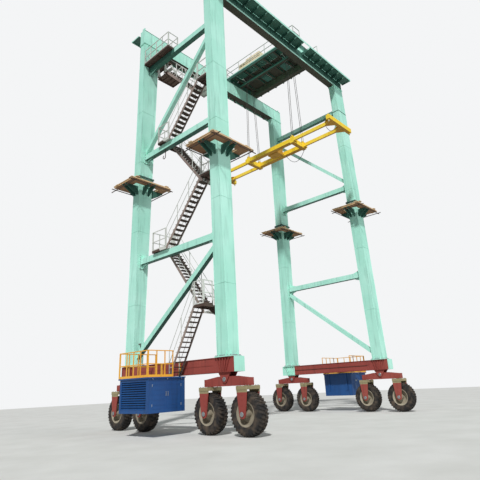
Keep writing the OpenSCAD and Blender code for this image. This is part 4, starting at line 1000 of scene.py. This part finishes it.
def floor_grating():
    """Bars across and along the two floor openings of the trolley frame, just under its top."""
    middles = [s * 0.88 for s in (-1, 1)]
    bars = [box_part((x, y - 0.258, FRAME_TOP - 0.045), (x + 0.014, y + 0.258, FRAME_TOP - 0.008), 0.002)
            for x in row(2.56, 3.32, 0.04) for y in middles]
    bars += [box_part((2.556, m + y, FRAME_TOP - 0.040), (3.339, m + y + 0.012, FRAME_TOP - 0.020), 0.002)
             for y in (-0.2, -0.07, 0.06, 0.19) for m in middles]
    return join(bars)


def cabinet_fronts():
    """Doors, handles and vent slots of the three cabinets; the last cabinet is lower."""
    face = 1.0415
    doors, handles, slots = [], [], []
    for i in range(3):
        y0 = -0.06 + 0.66 * i
        top = 23.65 - (0.12 if i == 2 else 0)
        doors += [box_part((face, y0 + a, 23.105), (face + 0.0055, y0 + a + 0.272, top - 0.005), 0.002)
                  for a in (0.004, 0.284)]
        handles.append(box_part((1.028, y0 + 0.262, 23.30), (1.034, y0 + 0.270, 23.42), 0.001))
        handles += [bar((1.034, y0 + 0.266, z), (1.042, y0 + 0.266, z), 0.004) for z in (23.31, 23.41)]
        # Vent slots are thin near-black plates: painted shade in their openings
        slots += [box_part((face - 0.002, y0 + a, z), (face + 0.0005, y0 + a + 0.15, z + 0.01), 0.0005)
                  for a in (0.06, 0.34) for z in top - 0.06 - 0.022 * np.arange(5)]
    return join(doors), join(handles), join(slots)


class CRANE_OT_trolley(bpy.types.Operator):
    """Rope turns on the drums, motor fins, bolts, floor grating and cabinet doors."""
    bl_idname = "crane.trolley"
    bl_label = "Trolley fittings"

    def execute(self, context):
        mesh_object("rope_turns", drum_ropes(), "rope", "trolley", True)
        mesh_object("motor_fins", motor_fins(), "grey", "trolley")
        mesh_object("trolley_bolts", trolley_bolts(), "zinc", "trolley")
        mesh_object("floor_grating", floor_grating(), "deep_green", "trolley")
        doors, handles, slots = cabinet_fronts()
        mesh_object("cabinet_doors", doors, "cream", "trolley")
        mesh_object("cabinet_handles", handles, "zinc", "trolley")
        mesh_object("cabinet_slots_painted_shade", slots, "dark", "trolley")
        return {"FINISHED"}


class CRANE_OT_hoist_ropes(bpy.types.Operator):
    """Taut ropes from the drums to the hoist lugs, between trolley and spreader."""
    bl_idname = "crane.hoist_ropes"
    bl_label = "Hoist ropes"

    def execute(self, context):
        drum_r, gap = 0.3, 0.0563
        ropes = [bar((TROLLEY_X + t * GUIDE_X, s * HOIST_Y + k * gap, PIN_Z),
                     (TROLLEY_X + t * drum_r, s * HOIST_Y + k * gap, DRUM_Z), ROPE_R, 10)
                 for s in (-1, 1) for k in (-1, 1) for t in (-1, 1)]
        obj = mesh_object("taut_ropes", join(ropes), "rope", None, True)
        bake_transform(obj)
        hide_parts("hoist_ropes")
        return {"FINISHED"}


class CRANE_OT_spreader(bpy.types.Operator):
    """Pin caps, bolts of the middle box, guide stops and three loops of cable on the spreader."""
    bl_idname = "crane.spreader"
    bl_label = "Spreader fittings"

    def execute(self, context):
        pins = [move(TROLLEY_X + t * GUIDE_X + k * 0.1, s * HOIST_Y, PIN_Z) @ turn("y", 90 * k)
                for t in (-1, 1) for s in (-1, 1) for k in (-1, 1)]
        lid = [move(TROLLEY_X + x, y, 16.23) for x in (-0.26, 0.26) for y in row(-0.35, 0.35, 0.14)]
        stops = [move(TROLLEY_X + t * GUIDE_X + x, s * 2.0, BEAM_TOP) for t in (-1, 1) for s in (-1, 1)
                 for x in (-0.1, 0, 0.1)]
        parts = [stamp(cap(0.036, 0.008, 0.028, 0.012, 18), pins), stamp(bolt(0.012, 0.014), lid + stops)]
        mesh_object("spreader_fasteners", join(parts), "zinc", "spreader")
        for name, s in (("front", -1), ("rear", 1)):
            x = TROLLEY_X + s * (GUIDE_X + 0.015)
            cable_loop("cable_" + name, (x, s * 4.25, 15.90), (x - s * 0.42, s * 4.737, 15.86), 0.42,
                       "spreader_end_" + name)
        x, z = TROLLEY_X + GUIDE_X, BEAM_LOW + 0.012
        cable_loop("cable_middle", (x, -0.45, z), (x, -2.0, z), 0.72, "spreader")
        return {"FINISHED"}


def cable_loop(name, start, end, sag, body):
    """A hanging cable between two points: p = a + (b - a) t, lowered by 4 sag t (1 - t)."""
    a, b = np.array(start), np.array(end)
    t = np.linspace(0, 1, 41)[:, None]
    path = a + (b - a) * t - np.array([0, 0, 1.0]) * 4 * sag * t * (1 - t)
    obj = mesh_object(name, tube(path, ROPE_R, 14), "dark", body, True)


class CRANE_OT_stage(bpy.types.Operator):
    """Makes the floor, the lamps and the camera."""
    bl_idname = "crane.stage"
    bl_label = "Stage"

    def execute(self, context):
        s = context.scene.crane_stage
        plain_floor()
        context.scene.world = pale_world()
        lamp("main_sun", (-0.75, -0.55, 0.9), s.sun, 4.0)
        lamp("fill_sun", (0.15, -0.95, 0.3), 0.8, 25.0)
        place_camera(context.scene, s)
        context.scene.view_settings.view_transform = "Standard"
        return {"FINISHED"}


def pale_world():
    """A dim, even sky that lights the crane, with a plain pale backdrop where the camera sees it."""
    world = bpy.data.worlds.new("pale_studio")
    world.use_nodes = True
    tree = world.node_tree
    sky = tree.nodes["Background"]
    sky.inputs["Color"].default_value = linear("#e9eef4")
    sky.inputs["Strength"].default_value = 0.30
    camera_ray = add(tree, "LightPath").outputs["Is Camera Ray"]
    shown = add(tree, "Background", values={"Color": linear("#f4f5f6"), "Strength": 1.0})
    both = add(tree, "MixShader", links={"Fac": camera_ray, 1: sky.outputs["Background"],
                                                   2: shown.outputs["Background"]})
    tree.links.new(both.outputs["Shader"], tree.nodes["World Output"].inputs["Surface"])
    return world


def plain_floor():
    """A pale disc of 60 m radius, 2 mm below the ground: two rings of points r (cos t, sin t)."""
    n = 48
    r = np.array([30.0, 60.0])
    t = np.arange(n) * 2 * math.pi / n
    ring = np.stack([np.outer(r, np.cos(t)), np.outer(r, np.sin(t))], axis=-1).reshape(-1, 2)
    verts = np.vstack([[[0, 0, 0]], np.column_stack([ring, np.zeros(len(ring))])])
    faces = [(0, 1 + i, 1 + (i + 1) % n) for i in range(n)]
    faces += [(1 + i, 1 + n + i, 1 + n + (i + 1) % n, 1 + (i + 1) % n) for i in range(n)]
    mesh = bpy.data.meshes.new("floor")
    mesh.from_pydata((verts - [0, 0, 0.002]).tolist(), [], faces)
    mesh.materials.append(two_tones("pale_concrete_floor", 0.6, 4, ("#cdcdc8", "#d8d8d4"), 0.9))
    obj = bpy.data.objects.new("floor", mesh)
    bpy.context.scene.collection.objects.link(obj)
    return obj


def lamp(name, towards, strength, angle):
    """A sun lamp that shines from the given side, with its disc's width in degrees."""
    data = bpy.data.lights.new(name, "SUN")
    data.energy = strength
    data.angle = math.radians(angle)
    obj = bpy.data.objects.new(name, data)
    x, y, z = towards
    obj.rotation_euler = (math.atan2(math.hypot(x, y), z), 0, math.atan2(x, -y))
    bpy.context.scene.collection.objects.link(obj)


def place_camera(scene, s):
    """Turns the camera by yaw, pitch and roll: forward f, right r and up u make the columns r, u, -f."""
    yaw, pitch, roll = (math.radians(a) for a in (s.yaw, s.pitch, s.roll))
    f = np.array([math.sin(yaw) * math.cos(pitch), math.cos(yaw) * math.cos(pitch), math.sin(pitch)])
    r = np.array([math.cos(yaw), -math.sin(yaw), 0.0])
    u = np.cross(r, f)
    right = math.cos(roll) * r + math.sin(roll) * u
    up = -math.sin(roll) * r + math.cos(roll) * u
    m = np.eye(4)
    m[:3, 0], m[:3, 1], m[:3, 2], m[:3, 3] = right, up, -f, s.camera
    data = bpy.data.cameras.new("photo_camera")
    data.lens = s.focal
    data.sensor_width = 36.0
    data.sensor_fit = "HORIZONTAL"
    data.shift_x, data.shift_y = s.shift
    data.clip_end = 400.0
    obj = bpy.data.objects.new("photo_camera", data)
    obj.matrix_world = Matrix(m.tolist())
    scene.collection.objects.link(obj)
    scene.camera = obj


class CRANE_PT_panel(bpy.types.Panel):
    """Lists the crane's steps in the sidebar."""
    bl_label = "Crane"
    bl_idname = "CRANE_PT_panel"
    bl_space_type = "VIEW_3D"
    bl_region_type = "UI"
    bl_category = "Crane"

    def draw(self, context):
        """One button for each step."""
        for step in STEPS:
            self.layout.operator(step.bl_idname)


STEPS = [CRANE_OT_stage, CRANE_OT_paint, CRANE_OT_wheels, CRANE_OT_fasteners, CRANE_OT_seams,
         CRANE_OT_running_gear, CRANE_OT_power_units, CRANE_OT_scaffolds, CRANE_OT_girder_fittings,
         CRANE_OT_trolley, CRANE_OT_hoist_ropes, CRANE_OT_spreader]
CLASSES = [CraneSettings, StageSettings, *STEPS, CRANE_PT_panel]


def register():
    """Makes the settings, steps and panel known to Blender."""
    for cls in CLASSES:
        bpy.utils.register_class(cls)
    bpy.types.Scene.crane = bpy.props.PointerProperty(type=CraneSettings)
    bpy.types.Scene.crane_stage = bpy.props.PointerProperty(type=StageSettings)


def unregister():
    """Takes them away again."""
    del bpy.types.Scene.crane_stage
    del bpy.types.Scene.crane
    for cls in reversed(CLASSES):
        bpy.utils.unregister_class(cls)


def main():
    """Runs all steps."""
    register()
    MATERIALS.update(make_materials())
    for step in STEPS:
        group, name = step.bl_idname.split(".")
        getattr(getattr(bpy.ops, group), name)()


if __name__ == "__main__":
    main()
